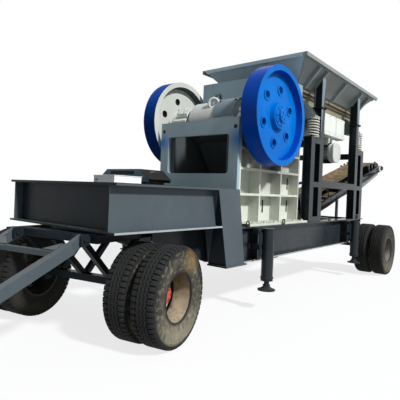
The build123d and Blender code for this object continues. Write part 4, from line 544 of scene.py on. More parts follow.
def axisFrame(origin, axis, turn=None):
    # a frame whose Z runs along axis; turn, if given, is the way its X points
    z = Vector(axis).normalized()
    x = Vector(turn) if turn is not None else (Vector((1, 0, 0)) if abs(z.x) < 0.9 else Vector((0, 0, 1)))
    x = (x - z * x.dot(z)).normalized()
    y = z.cross(x)
    return Matrix.Translation(origin) @ Matrix((x, y, z)).transposed().to_4x4()


# node trees that repeat a shape
def newShapeTree(name, sizes):
    tree = bpy.data.node_groups.new(name, "GeometryNodeTree")
    tree.interface.new_socket(name="Geometry", in_out="OUTPUT", socket_type="NodeSocketGeometry")
    tree.interface.new_socket(name="Geometry", in_out="INPUT", socket_type="NodeSocketGeometry")
    tree.interface.new_socket(name="Material", in_out="INPUT", socket_type="NodeSocketMaterial")
    for label, value in sizes.items():
        kind = "NodeSocketInt" if isinstance(value, int) else "NodeSocketFloat"
        tree.interface.new_socket(name=label, in_out="INPUT", socket_type=kind).default_value = value
    return tree, addNode(tree, "NodeGroupInput").outputs


def copiesOn(tree, points, instance, way=None, axis="Z"):
    # the instance on every point, its axis turned along way
    inputs = {"Points": points, "Instance": instance}
    if way is not None:
        turn = addNode(tree, "FunctionNodeAlignRotationToVector", {"Vector": way}, axis=axis)
        inputs["Rotation"] = turn.outputs["Rotation"]
    return addNode(tree, "GeometryNodeInstanceOnPoints", inputs).outputs["Instances"]


def closeTree(tree, given, copies):
    real = addNode(tree, "GeometryNodeRealizeInstances", {"Geometry": copies}).outputs["Geometry"]
    dressed = addNode(tree, "GeometryNodeSetMaterial", {"Geometry": real, "Material": given["Material"]})
    addNode(tree, "NodeGroupOutput", {"Geometry": dressed.outputs["Geometry"]})


def grownMesh(name, seed, tree, material, sizes):
    # runs a node tree on the seed mesh and returns the plain mesh that it makes
    holder = bpy.data.objects.new(name, seed)
    bpy.context.collection.objects.link(holder)
    modifier = holder.modifiers.new("shape", "NODES")
    modifier.node_group = tree
    for socket in tree.interface.items_tree:
        if socket.in_out == "INPUT" and socket.name in sizes:
            modifier[socket.identifier] = sizes[socket.name]
        if socket.in_out == "INPUT" and socket.name == "Material":
            modifier[socket.identifier] = material
    mesh = bpy.data.meshes.new_from_object(holder.evaluated_get(bpy.context.evaluated_depsgraph_get()))
    holder.modifiers.clear()
    bpy.data.objects.remove(holder)
    return mesh


# fasteners: hexagon heads on washers, with the end of the thread standing out
boltLook = {"washerThickness": 0.005, "washerShare": 1.3, "threadShare": 0.55}
boltTree, boltSizes = newShapeTree("hexBolts", {
    "Head radius": 0.016, "Head height": 0.012, "Washer radius": 0.02, "Thread radius": 0.009,
    "Thread length": 0.02,
})


def boltRound(corners, radius, depth, lift=0.0):
    # a prism or cylinder of the bolt, lifted by a share of its depth
    inputs = {"Vertices": corners, "Radius": radius, "Depth": depth}
    shape = addNode(boltTree, "GeometryNodeMeshCylinder", inputs).outputs["Mesh"]
    if not lift:
        return shape
    raised = addNode(boltTree, "ShaderNodeMath", (depth, lift), operation="MULTIPLY")
    upward = addNode(boltTree, "ShaderNodeCombineXYZ", {"Z": raised})
    moved = {"Geometry": shape, "Translation": upward}
    return addNode(boltTree, "GeometryNodeTransform", moved).outputs["Geometry"]


boltParts = addNode(boltTree, "GeometryNodeJoinGeometry")
for shape in (
    boltRound(16, boltSizes["Washer radius"], boltLook["washerThickness"]),
    boltRound(6, boltSizes["Head radius"], boltSizes["Head height"], 0.5),
    boltRound(10, boltSizes["Thread radius"], boltSizes["Thread length"], 0.5),
):
    boltTree.links.new(shape, boltParts.inputs["Geometry"])
boltWay = addNode(boltTree, "GeometryNodeInputNamedAttribute", {"Name": "facing"}, data_type="FLOAT_VECTOR")
boltCopies = copiesOn(boltTree, boltSizes["Geometry"], boltParts.outputs["Geometry"],
    boltWay.outputs["Attribute"])
closeTree(boltTree, boltSizes, boltCopies)


def boltsOn(name, spots, body, radius=0.016, height=0.013, thread=0.018, material=zincBolt):
    # a bolt on each (place, way it faces)
    seed = bpy.data.meshes.new(name + "Spots")
    seed.from_pydata([tuple(place) for place, way in spots], [], [])
    facing = seed.attributes.new("facing", "FLOAT_VECTOR", "POINT")
    for index, (place, way) in enumerate(spots):
        facing.data[index].vector = Vector(way).normalized()
    finishPiece(name, grownMesh(name, seed, boltTree, material, {
        "Head radius": radius, "Head height": height, "Washer radius": radius * boltLook["washerShare"],
        "Thread radius": radius * boltLook["threadShare"], "Thread length": thread,
    }), body)


def ringOn(matrix, radius, count, along=0.0, start=0.0):
    # bolt places round a frame's Z axis
    way = matrix.to_3x3() @ Vector((0, 0, 1))
    turns = [start + 2 * math.pi * step / count for step in range(count)]
    return [(matrix @ Vector((*polar(radius, turn), along)), way) for turn in turns]


# wheels: dual tyres on dished rims, with hubs
tyreDesign = {
    "treadBase": 0.494, "width": 0.262, "rimRadius": 0.262, "treadPitches": 56, "segments": 112,
    "lugDepth": 0.015, "treadRoot": -0.004, "lugSlant": 0.10, "ribSwing": 0.055, "smoothAngle": 32,
}
# (out, share of the half width) round a shoulder lug, its slices (share of the pitch, cut), and the middle
# and width of each rib as shares of the half width
lugOutline = [
    (-0.004, 0.66), (-0.004, 0.80), (-0.022, 0.955), (0.000, 0.93), (0.011, 0.82), (0.015, 0.70),
    (0.015, 0.50), (-0.004, 0.50),
]
lugSlices = ((-0.40, 0.003), (-0.36, 0.0), (0.34, 0.0), (0.38, 0.003))
plainSlices = ((-0.5, 0.0), (0.5, 0.0))
ribShares = ((-0.30, 0.115), (0.0, 0.125), (0.30, 0.115))
# (radius over the rim's, share of the half width) from the bead to the shoulder of a tyre
sidewall = [
    (0.001, 0.66), (-0.004, 0.78), (0.002, 0.85), (0.016, 0.88), (0.022, 0.855), (0.034, 0.88),
    (0.060, 0.945), (0.095, 0.99), (0.125, 1.0), (0.150, 0.995), (0.170, 0.975), (0.173, 0.990),
    (0.180, 0.988), (0.184, 0.965), (0.197, 0.955), (0.200, 0.965), (0.207, 0.962), (0.211, 0.94),
    (0.220, 0.90), (0.229, 0.78), (0.232, 0.5),
]
treadTree, treadSizes = newShapeTree("treadRing", {"Pitches": 56, "Radius": 0.494})
treadCircle = addNode(
    treadTree, "GeometryNodeMeshCircle", {"Vertices": treadSizes["Pitches"], "Radius": treadSizes["Radius"]})
treadWay = addNode(treadTree, "GeometryNodeInputPosition").outputs["Position"]
closeTree(treadTree, treadSizes, copiesOn(
    treadTree, treadCircle.outputs["Mesh"], treadSizes["Geometry"], treadWay, axis="X"))


def treadPitch(lugged):
    # X out of the tyre, Y round it, Z across it: shoulder lugs and zigzag ribs, or plain ribs only
    work = bmesh.new()
    pitch = 2 * math.pi * tyreDesign["treadBase"] / tyreDesign["treadPitches"]
    depth, half, root = tyreDesign["lugDepth"], tyreDesign["width"] / 2, tyreDesign["treadRoot"]
    for side in (-1, 1):
        slant = tyreDesign["lugSlant"] * pitch * side if lugged else 0.0
        rings = []
        for share, cut in lugSlices if lugged else plainSlices:
            lug = [(x - (cut if x > 0.003 else 0), share * pitch + slant * (z - 0.7), side * z * half)
                   for x, z in lugOutline]
            rings.append([work.verts.new(point) for point in lug])
        skinRings(work, rings)
    swing = tyreDesign["ribSwing"] * half if lugged else 0.0
    for middle, width in ribShares:
        wide = width * half
        section = [
            (root, -wide), (depth - 0.002, -wide), (depth, -wide * 0.7), (depth, wide * 0.7),
            (depth - 0.002, wide), (root, wide),
        ]
        skinRings(work, [
            [work.verts.new((x, share * pitch, middle * half + shift + z)) for x, z in section]
            for share, shift in ((-0.5, -swing), (-0.02, swing), (0.02, swing), (0.5, -swing))])
    return meshOf(work, "treadPitch")


def wornTyres(name, wheelFrames, body, oldNode, stainAt=None):
    # carcass turned in mesh code, tread grown round it by the node tree
    work = bmesh.new()
    skin = rubber if stainAt is not None else (darkRubber if body.endswith("far") else greyRubber)
    sizes = {"Pitches": tyreDesign["treadPitches"], "Radius": tyreDesign["treadBase"]}
    tread = grownMesh(name + "Tread", treadPitch(body.startswith("front")), treadTree, skin, sizes)
    reach, stain = (work.verts.layers.float.new(key) for key in ("reach", "stain"))
    rim, half = tyreDesign["rimRadius"], tyreDesign["width"] / 2
    right = [(rim + over, share * half) for over, share in sidewall]
    profile = right + [(radius, -along) for radius, along in reversed(right)]
    for matrix in wheelFrames:
        addLathe(work, matrix, profile, tyreDesign["segments"])
        before = len(work.verts)
        work.from_mesh(tread)
        work.verts.ensure_lookup_table()
        for vert in work.verts[before:]:
            vert[reach] = math.hypot(vert.co.x, vert.co.y)
            vert.co = matrix @ vert.co
    if stainAt is not None:
        place, size = stainAt
        for vert in work.verts:
            vert[stain] = max(0.0, 1 - (vert.co - place).length / size)
    finishPiece(name, work, body, [skin], tyreDesign["smoothAngle"], oldNode, weld=None)


rimDesign = {
    "seatShare": 0.82, "segments": 72, "hubSegments": 48, "discThickness": 0.0065, "discEdge": 0.0125,
    "handHoles": 8, "stepsPerHole": 8, "wheelNuts": 10, "nutCircle": 0.148, "nutHeight": 0.0225,
    "capBolts": 6, "capCircle": 0.056, "capHeight": 0.1345, "discRadii": (0.088, 0.178, 0.190, 0.226, 0.238),
    "holeRow": 2, "holeSteps": (2, 3, 4, 5),
}
# (radius over the rim's, side of the wheel, distance in from the seat's edge) round the barrel, and (radius
# over the rim's, distance out from that edge) round a lock ring
barrelOuter = [
    (-0.001, -1, 0.0), (0.010, -1, -0.004), (0.012, -1, 0.001), (-0.001, -1, 0.008), (-0.003, -1, 0.035),
    (-0.006, 0, -0.02), (-0.006, 0, 0.02), (-0.003, 1, 0.035), (-0.001, 1, 0.008), (0.012, 1, 0.001),
    (0.010, 1, -0.004), (-0.001, 1, 0.0), (-0.010, 1, 0.004), (-0.012, 1, 0.035), (-0.0135, 0, 0.02),
    (-0.0135, 0, -0.02), (-0.012, -1, 0.035), (-0.010, -1, 0.004),
]
lockRing = [(-0.014, -0.006), (0.011, 0.002), (0.009, 0.008), (-0.006, 0.010), (-0.015, 0.004)]
hubProfile = [
    (0.051, -0.104), (0.092, -0.104), (0.095, -0.098), (0.095, 0.10), (0.088, 0.106), (0.082, 0.128),
    (0.070, 0.1345), (0.0, 0.1345), (0.0, 0.096), (0.051, 0.096),
]


def discWithHoles(work, matrix, discAt, outer):
    # pressed disc: a ring of hand holes between its hub seat and its outer skirt
    perHole, row0, holed = rimDesign["stepsPerHole"], rimDesign["holeRow"], rimDesign["holeSteps"]
    steps = rimDesign["handHoles"] * perHole
    radii = (*rimDesign["discRadii"], outer)
    sheets = []
    for face in (-1, 1):
        height = discAt + face * rimDesign["discThickness"]
        turns = [2 * math.pi * s / steps for s in range(steps)]
        rows = [[work.verts.new(matrix @ Vector((*polar(radius, turn), height))) for turn in turns]
                for radius in radii]
        for row, (one, two) in enumerate(zip(rows, rows[1:])):
            for s in range(steps):
                if row != row0 or s % perHole not in holed:
                    corners = (one[s], two[s], two[(s + 1) % steps], one[(s + 1) % steps])
                    work.faces.new(corners if face > 0 else tuple(reversed(corners)))
        sheets.append(rows)
    lower, upper = sheets
    for s in range(steps):
        t = (s + 1) % steps
        for row in (0, -1) + ((row0, row0 + 1) if s % perHole in holed else ()):
            work.faces.new((lower[row][s], upper[row][s], upper[row][t], lower[row][t]))
        if s % perHole in (holed[0], holed[-1] + 1):
            work.faces.new((lower[row0][s], upper[row0][s], upper[row0 + 1][s], lower[row0 + 1][s]))


def dishedRims(name, wheels, body, oldNode, hubFrame, barrelPaint):
    # drop-well barrels with lock rings, discs with hand holes, and the hub between the two discs
    work = bmesh.new()
    rim, half = tyreDesign["rimRadius"], rimDesign["seatShare"] * tyreDesign["width"] / 2
    barrel = [(rim + over, side * (half - inset) if side else inset) for over, side, inset in barrelOuter]
    for matrix, discAt in wheels:
        addLathe(work, matrix, barrel, rimDesign["segments"])
        for side in (-1, 1):
            ring = [(rim + over, side * (half + out)) for over, out in lockRing]
            addLathe(work, matrix, ring, rimDesign["segments"], 1)
        discWithHoles(work, matrix, discAt, rim - rimDesign["discEdge"])
    addLathe(work, hubFrame, hubProfile, rimDesign["hubSegments"], 2, closed=False)
    finishPiece(name, work, body, [barrelPaint, lockRingPaint, hubPrimer], 35, oldNode,
        weld=1e-5)
    nuts = ringOn(hubFrame, rimDesign["nutCircle"], rimDesign["wheelNuts"], rimDesign["nutHeight"])
    caps = ringOn(hubFrame, rimDesign["capCircle"], rimDesign["capBolts"], rimDesign["capHeight"])
    boltsOn(name + "Nuts", nuts, body, radius=0.017, height=0.022, thread=0.034, material=rustyNut)
    boltsOn(name + "CapBolts", caps, body, radius=0.0085, height=0.008, thread=0.004, material=rustyNut)


# how far each dual stands from the centreline, where its disc is, and the mud patch on the near front tyre
wheelPlaces = {
    "front": (0.799, 1.119), "rear": (1.129, 1.449), "discOut": 0.144, "stainOut": 0.29,
    "stainFrom": (0.20, 0, 0.34), "stainSize": 0.19,
}


def dressWheels(joint):
    body = joint["child"]
    axle, side = body.split("_wheels_")
    sign = -1 if side == "near" else 1
    middle, axis = Vector(joint["pos_m"]), Vector(joint["axis"])
    hubAt = sum(wheelPlaces[axle]) / 2
    frames = [axisFrame(middle + axis * sign * (track - hubAt), axis) for track in wheelPlaces[axle]]
    label = axle + side.title()
    stain = None
    if body == "front_wheels_near":
        stainPlace = middle + axis * sign * wheelPlaces["stainOut"] + Vector(wheelPlaces["stainFrom"])
        stain = (stainPlace, wheelPlaces["stainSize"])
    wornTyres(label + "Tyres", frames, body, f"{axle}_tyres_{side}", stain)
    discOut = sign * wheelPlaces["discOut"]
    hubFrame = axisFrame(middle, axis)
    if sign < 0:
        hubFrame = hubFrame @ Matrix.Rotation(math.pi, 4, "X")
    # the far rims take the painted shade
    barrelPaint = shadedRim if side == "far" else (rimEnamel if axle == "front" else silverRim)
    wheels = [(frames[0], discOut), (frames[1], -discOut)]
    dishedRims(label + "Rims", wheels, body, f"{axle}_rims_{side}", hubFrame, barrelPaint)


for joint in frame["joints"]:
    if joint["child"].endswith(("wheels_near", "wheels_far")):
        dressWheels(joint)
print("wheels done")

# feeder springs: real coils in place of the turned stacks
springDesign = {
    "coilRadius": 0.0935, "wireRadius": 0.0128, "turns": 6.5, "endPlate": 0.008, "plateRadius": 0.108,
    "bossRadius": 0.056, "bossTop": 0.048, "bossHeight": 0.08, "bossStep": 0.07, "coreRadius": 0.040,
    "coreInset": 0.06,
}
springTree, springSizes = newShapeTree(
    "coilSprings", {"Turns": 6.5, "Coil radius": 0.09, "Height": 0.3, "Wire radius": 0.015})
coil = addNode(springTree, "GeometryNodeCurveSpiral", {
    "Resolution": 28, "Rotations": springSizes["Turns"], "Start Radius": springSizes["Coil radius"],
    "End Radius": springSizes["Coil radius"], "Height": springSizes["Height"],
})
section = addNode(springTree, "GeometryNodeCurvePrimitiveCircle", {
    "Resolution": 12, "Radius": springSizes["Wire radius"]})
wire = addNode(springTree, "GeometryNodeCurveToMesh", {
    "Curve": coil.outputs["Curve"], "Profile Curve": section.outputs["Curve"], "Fill Caps": True})
closeTree(springTree, springSizes, copiesOn(springTree, springSizes["Geometry"], wire.outputs["Mesh"]))


def feederSprings():
    # coils between end plates, over a dark boss at each end and a dark core, which are black as painted shade so
    # that the gaps between the coils read dark
    low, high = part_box("feeder_springs")
    plate, reach, height = springDesign["endPlate"], springDesign["plateRadius"], high.z - low.z
    ends = plate + springDesign["wireRadius"]
    middles = [(x, y) for x in (low.x + reach, high.x - reach) for y in (low.y + reach, high.y - reach)]
    seed = bpy.data.meshes.new("springSpots")
    seed.from_pydata([(x, y, low.z + ends) for x, y in middles], [], [])
    coilMesh = grownMesh("feederSprings", seed, springTree, springPaint, {
        "Turns": springDesign["turns"], "Coil radius": springDesign["coilRadius"],
        "Wire radius": springDesign["wireRadius"], "Height": height - 2 * ends,
    })
    work = bmesh.new()
    work.from_mesh(coilMesh)
    for face in work.faces:
        face.material_index = 0
    for x, y in middles:
        for base, upward in ((low.z, 1), (high.z, -1)):
            upright = Matrix.Translation((x, y, base))
            addDisc(work, upright, reach, 0.0, upward * plate, 40)
            bossRadius, bossHeight = springDesign["bossRadius"], upward * springDesign["bossHeight"]
            boss = [
                (0.0, 0.0), (bossRadius, 0.0), (bossRadius, upward * springDesign["bossStep"]),
                (springDesign["bossTop"], bossHeight), (0.0, bossHeight),
            ]
            addLathe(work, upright, boss, 28, 1, closed=False)
        inset = springDesign["coreInset"]
        upright = Matrix.Translation((x, y, low.z))
        addDisc(work, upright, springDesign["coreRadius"], inset, height - inset, 28, 1)
    finishPiece("feederSprings", work, "chassis", [springPaint, shadeBlack], 40,
        "feeder_springs")


feederSprings()

# motors: finned barrels with end bells, a slotted fan cover, feet and a terminal box
finTree, finSizes = newShapeTree(
    "coolingFins", {"Fins": 40, "Radius": 0.17, "Fin height": 0.02, "Fin thickness": 0.004, "Length": 0.4})
finCircle = addNode(finTree, "GeometryNodeMeshCircle",
    {"Vertices": finSizes["Fins"], "Radius": finSizes["Radius"]})
finSize = addNode(finTree, "ShaderNodeCombineXYZ", (
    finSizes["Fin height"], finSizes["Fin thickness"], finSizes["Length"]))
fin = addNode(finTree, "GeometryNodeMeshCube", {"Size": finSize})
finWay = addNode(finTree, "GeometryNodeInputPosition").outputs["Position"]
closeTree(finTree, finSizes,
    copiesOn(finTree, finCircle.outputs["Mesh"], fin.outputs["Mesh"], finWay, axis="X"))

finDesign = {"count": 44, "coreShare": 0.90, "rootDepth": 0.004, "thicknessShare": 0.02, "lengthShare": 0.60}


def finnedMotor(name, centre, radius, length, shaft, finish, boxes, oldNode):
    # lies along Y; boxes are its feet and terminal box, each with its low and high corner and its bevel
    matrix = axisFrame(centre, (0, 1, 0), (0, 0, 1))      # X of the frame is up
    half, core = length / 2, radius * finDesign["coreShare"]
    fins = grownMesh(name + "Fins", bpy.data.meshes.new("finSeed"), finTree, finish, {
        "Fins": finDesign["count"], "Radius": (core + radius) / 2,
        "Fin height": radius - core + finDesign["rootDepth"],
        "Fin thickness": radius * finDesign["thicknessShare"], "Length": length * finDesign["lengthShare"],
    })
    work = bmesh.new()
    work.from_mesh(fins)
    work.transform(matrix)
    barrel = [
        (0.0, -half), (radius * 0.72, -half), (radius * 0.90, -half + 0.012), (radius * 0.97, -half + 0.035),
        (radius * 0.97, -half + length * 0.15), (radius * 0.93, -half + length * 0.17),
        (core, -half + length * 0.18), (core, half - length * 0.16), (radius * 0.98, half - length * 0.15),
        (radius * 0.98, half - length * 0.11), (radius * 0.86, half - length * 0.09),
        (radius * 0.62, half - 0.02), (radius * 0.36, half - 0.008), (radius * 0.34, half), (0.0, half),
    ]
    addLathe(work, matrix, barrel, 64, closed=False)
    for ring in range(4):      # slots of the fan cover
        inner = radius * (0.20 + 0.13 * ring)
        outer, back, front = inner + radius * 0.05, -half + 0.002, -half - 0.004
        addLathe(work, matrix, [(inner, front), (outer, front), (outer, back), (inner, back)], 40, 1)
    addDisc(work, matrix, radius * 0.2, half, half + shaft, 28, 2)
    for low, high, bevel in boxes:
        addBox(work, low, high, bevel)
    finishPiece(name, work, "chassis", [finish, blackTube, shaftSteel], 30, oldNode)


motorDesign = {
    "length": 0.76, "shaft": 0.11, "radius": 0.19, "height": 1.610, "footSpan": 0.19, "footHalfWidth": 0.045,
    "footThickness": 0.032, "webAt": 0.12, "webHalf": 0.014, "webReach": 0.235, "webFoot": 0.03,
    "webTop": 0.125, "boltOut": 0.16, "terminalBox": ((0.12, -0.10, 1.60), (0.20, 0.10, 1.73)),
}
hoodDesign = {
    "gap": 0.006, "lipRise": 0.075, "thickness": 0.005, "nearOver": 0.075, "farOver": 0.10, "nearSlope": 0.15,
    "farSlope": 0.16, "sideGap": 0.012, "skirt": 0.03, "slotFrom": 0.25, "slotTo": 0.24,
    "slotDrop": (0.060, 0.020), "slotDepth": (0.001, 0.004),
}


def deckMotor():
    low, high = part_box("drive_motor")
    size, foot = motorDesign, low.z + motorDesign["footThickness"]
    middle = Vector(((low.x + high.x) / 2, high.y - size["shaft"] - size["length"] / 2, size["height"]))
    boxes = [((middle.x - size["footSpan"], middle.y + y - size["footHalfWidth"], low.z),
              (middle.x + size["footSpan"], middle.y + y + size["footHalfWidth"], foot), 0.006)
             for y in (-size["footSpan"], size["footSpan"])]
    boxes += [((x - size["webHalf"], middle.y - size["webReach"], low.z + size["webFoot"]),
               (x + size["webHalf"], middle.y + size["webReach"], low.z + size["webTop"]), 0.006)
              for x in (middle.x - size["webAt"], middle.x + size["webAt"])]
    low, high = ((middle.x + x, middle.y + y, z) for x, y, z in size["terminalBox"])
    boxes.append((low, high, 0.010))
    finnedMotor("driveMotor", middle, size["radius"], size["length"], size["shaft"], blackTube, boxes,
                "drive_motor")
    spots = [((middle.x + dx, middle.y + dy, foot), (0, 0, 1))
             for dx in (-size["boltOut"], size["boltOut"]) for dy in (-size["footSpan"], size["footSpan"])]
    boltsOn("driveMotorBolts", spots, "chassis", radius=0.014, height=0.012)
    motorHood(middle)


def motorHood(middle):
    # folded rain cover over the barrel: flat top, sloping ends, and an air slot along each side drawn as a thin
    # black strip of painted shade
    work = bmesh.new()
    size, radius, reach = hoodDesign, motorDesign["radius"], motorDesign["length"] / 2
    thick, half = size["thickness"], radius + size["sideGap"]
    top, lip = middle.z + radius + size["gap"], middle.z + size["lipRise"]
    near, far = middle.y - reach - size["nearOver"], middle.y + reach + size["farOver"]
    run = [(near, lip), (near + size["nearSlope"], top), (far - size["farSlope"], top), (far, lip)]
    for index, ((y0, z0), (y1, z1)) in enumerate(zip(run, run[1:])):
        way = Vector((0, y1 - y0, z1 - z0))
        matrix = axisFrame((middle.x, y0, z0), (0, -way.z, way.y), (1, 0, 0))
        outline = [(-half, 0), (half, 0), (half, way.length), (-half, way.length)]
        addPlate(work, outline, thick, matrix, 1 if index == 0 else 0)
    for side in (-1, 1):
        x = middle.x + side * half
        matrix = axisFrame((x - (thick if side > 0 else 0), 0, 0), (1, 0, 0), (0, 1, 0))
        outline = [(near, lip - size["skirt"]), (far, lip - size["skirt"]), *reversed(run)]
        addPlate(work, outline, thick, matrix)
        inner, outer = sorted(x + side * depth for depth in size["slotDepth"])
        low, high = (top - drop for drop in size["slotDrop"])
        addBox(work, (inner, near + size["slotFrom"], low), (outer, far - size["slotTo"], high), 0.0, 1)
    finishPiece("motorHood", work, "chassis", [motorEnamel, shadeBlack])


trayMotorDesign = {
    "inset": 0.28, "height": 2.44, "radius": 0.205, "length": 0.56, "shaft": 0.09, "coverInset": 0.012,
    "coverHalf": (0.205, 0.200), "coverSquareness": 0.7, "coverThickness": 0.016, "lidShare": 0.93,
    "lidThickness": 0.022, "coverBoltsAt": (0.155, 0.150), "coverBoltTurns": (0.8, 2.34, 3.94, 5.48),
    "hangerHalf": (0.12, 0.14), "hangerBottom": 2.60,
    "terminalBox": ((0.12, 0.02, 2.36), (0.225, 0.20, 2.50)),
}


def trayMotor():
    low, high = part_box("feeder_motor")
    size = trayMotorDesign
    middle = Vector(((low.x + high.x) / 2, low.y + size["inset"], size["height"]))
    wide, long = size["hangerHalf"]
    hangerLow = (middle.x - wide, middle.y - long, size["hangerBottom"])
    hangerHigh = (middle.x + wide, middle.y + long, high.z)
    terminalLow, terminalHigh = ((middle.x + x, middle.y + y, z) for x, y, z in size["terminalBox"])
    boxes = [(hangerLow, hangerHigh, 0.006), (terminalLow, terminalHigh, 0.010)]
    finnedMotor("feederMotor", middle, size["radius"], size["length"], size["shaft"], machineWhite, boxes,
                "feeder_motor")
    cover = bmesh.new()      # flat end cover, wider than high, with its rim and bolts
    matrix = axisFrame((middle.x, low.y + size["coverInset"], middle.z), (0, -1, 0), (1, 0, 0))
    outline = []
    for step in range(40):
        across, up = polar(1.0, 2 * math.pi * step / 40)
        outline.append(tuple(half * math.copysign(abs(share) ** size["coverSquareness"], share)
                             for half, share in zip(size["coverHalf"], (across, up))))
    addPlate(cover, outline, size["coverThickness"], matrix)
    lid = [(x * size["lidShare"], y * size["lidShare"]) for x, y in outline]
    addPlate(cover, lid, size["lidThickness"], matrix)
    finishPiece("feederMotorCover", cover, "chassis", [castingPaint])
    wide, tall = size["coverBoltsAt"]
    spots = []
    for turn in size["coverBoltTurns"]:
        place = matrix @ Vector((wide * math.cos(turn), tall * math.sin(turn), size["lidThickness"]))
        spots.append((place, (0, -1, 0)))
    boltsOn("feederMotorCoverBolts", spots, "chassis", radius=0.009, height=0.008, thread=0.0,
        material=castingPaint)


deckMotor()
trayMotor()
print("springs and motors done")

# feeder: seals, exciter cases and post clamps
feederDesign = {
    "endInset": 0.01, "sealOut": (0.655, 0.661), "sealHeights": (3.385, 3.502),
    "lipThickness": 0.008, "railOut": (0.611, 0.650), "railInset": 0.02, "railHeights": (3.335, 3.190),
    "tubeRadius": 0.095, "tubeHeight": 0.125, "clampAt": ((0.615, 3.118), (2.445, 3.085)), "postHalf": 0.075,
    "clampOver": 0.014, "clampHalf": 0.015, "clampTube": 0.024, "clampTubeHeight": 0.034,
}
caseDesign = {
    "longCase": 0.55, "longCorners": (0.022, 0.022), "shortCorners": (0.035, 0.080), "cornerSteps": 6,
    "seam": 0.008, "boltShares": (0.12, 0.5, 0.88), "boltInset": 0.035, "strapHeights": (0.070, 0.078),
    "strapOut": 0.004, "strapInset": 0.03,
}


def looseBoxes(node):
    # the low and high corners of each separate solid in a node
    work = bmesh.new()
    work.from_mesh(nodes[node].data)
    work.transform(nodes[node].matrix_world)
    bmesh.ops.remove_doubles(work, verts=work.verts, dist=1e-4)
    left, boxes = set(work.verts), []
    while left:
        stack, found = [left.pop()], []
        while stack:
            vert = stack.pop()
            found.append(vert.co.copy())
            for edge in vert.link_edges:
                other = edge.other_vert(vert)
                if other in left:
                    left.remove(other)
                    stack.append(other)
        corners = (Vector(pick(co[axis] for co in found) for axis in range(3)) for pick in (min, max))
        boxes.append(tuple(corners))
    work.free()
    return boxes


def exciterCases():
    # weight covers with rounded ends and a lid seam, on their cross tubes
    work = bmesh.new()
    bolts = []
    inside, tube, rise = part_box("feeder_trough")[1].y, feederDesign["tubeRadius"], feederDesign["tubeHeight"]
    seam, steps, strap = caseDesign["seam"], caseDesign["cornerSteps"], caseDesign["strapOut"]
    boxes = [box for box in looseBoxes("exciter_cases") if box[0].y < 0]
    for low, high in boxes:
        middle = ((low.x + high.x) / 2, 0, low.z + rise)
        addDisc(work, axisFrame(middle, (0, 1, 0)), tube, -inside, inside, 48)
    for side, (low, high) in [(side, box) for side in (-1, 1) for box in boxes]:
        outer, inner, tall = side * abs(low.y), side * inside, high.z - low.z
        front, back = caseDesign["longCorners" if high.x - low.x > caseDesign["longCase"] else "shortCorners"]
        outline = [(low.x, inner), (high.x, inner)]
        for x, radius, first in ((high.x - back, back, 0.0), (low.x + front, front, math.pi / 2)):
            for step in range(steps + 1):
                across, out = polar(radius, first + math.pi / 2 * step / steps)
                outline.append((x + across, outer - side * radius + side * out))
        addPlate(work, outline, tall - 2 * seam, Matrix.Translation((0, 0, low.z + seam)))
        middleX = (low.x + high.x) / 2
        shrunk = [(x + math.copysign(seam, middleX - x), y - (side * seam if abs(y - inner) > 0.001 else 0))
                  for x, y in outline]
        addPlate(work, shrunk, tall, Matrix.Translation((0, 0, low.z)))
        for share in caseDesign["boltShares"]:
            x = low.x + (high.x - low.x) * share
            heights = (low.z + caseDesign["boltInset"], high.z - caseDesign["boltInset"])
            bolts += [((x, outer + side * 0.001, z), (0, side, 0)) for z in heights]
        strapRun = (low.x + caseDesign["strapInset"], high.x - back)
        strapHeights = [low.z + height for height in caseDesign["strapHeights"]]
        addSideBox(work, side, strapRun, (abs(low.y), abs(low.y) + strap), strapHeights)
    finishPiece("exciterCases", work, "chassis", [machineWhite], 30, "exciter_cases")
    boltsOn("exciterCaseBolts", bolts, "chassis", radius=0.010, height=0.008, thread=0.0,
        material=castingPaint)


def troughSeals():
    # seal plates between trough and hopper, each on a lip, and two rails along the trough
    low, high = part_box("feeder_trough")
    work = bmesh.new()
    inset, thick = feederDesign["endInset"], feederDesign["lipThickness"]
    run, bottom = (low.x + inset, high.x - inset), feederDesign["sealHeights"][0]
    railRun = (low.x + feederDesign["railInset"], high.x - feederDesign["railInset"])
    for side in (-1, 1):
        addSideBox(work, side, run, feederDesign["sealOut"], feederDesign["sealHeights"])
        addSideBox(work, side, run, (high.y, feederDesign["sealOut"][1]), (bottom, bottom + thick))
        for z in feederDesign["railHeights"]:
            addSideBox(work, side, railRun, feederDesign["railOut"], (z, z + thick))
    finishPiece("troughSeals", work, "chassis", [troughEnamel])


def postClamps():
    clamps = bmesh.new()
    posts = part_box("support_frame_near")
    reach, tube = feederDesign["postHalf"] + feederDesign["clampOver"], feederDesign["clampTubeHeight"]
    half = feederDesign["clampHalf"]
    for x, z in feederDesign["clampAt"]:
        for side in (-1, 1):
            y = -side * (posts[0].y + posts[1].y) / 2
            addBox(clamps, (x - reach, y - reach, z - half), (x + reach, y + reach, z + half), 0.003)
            corner = (x + reach - 0.026, y + side * (reach - 0.002), z - tube / 2)
            addDisc(clamps, Matrix.Translation(corner), feederDesign["clampTube"], 0.0, tube, 16)
    finishPiece("postClamps", clamps, "chassis", [shadeBlack])


troughSeals()
exciterCases()
postClamps()
print("feeder trim done")

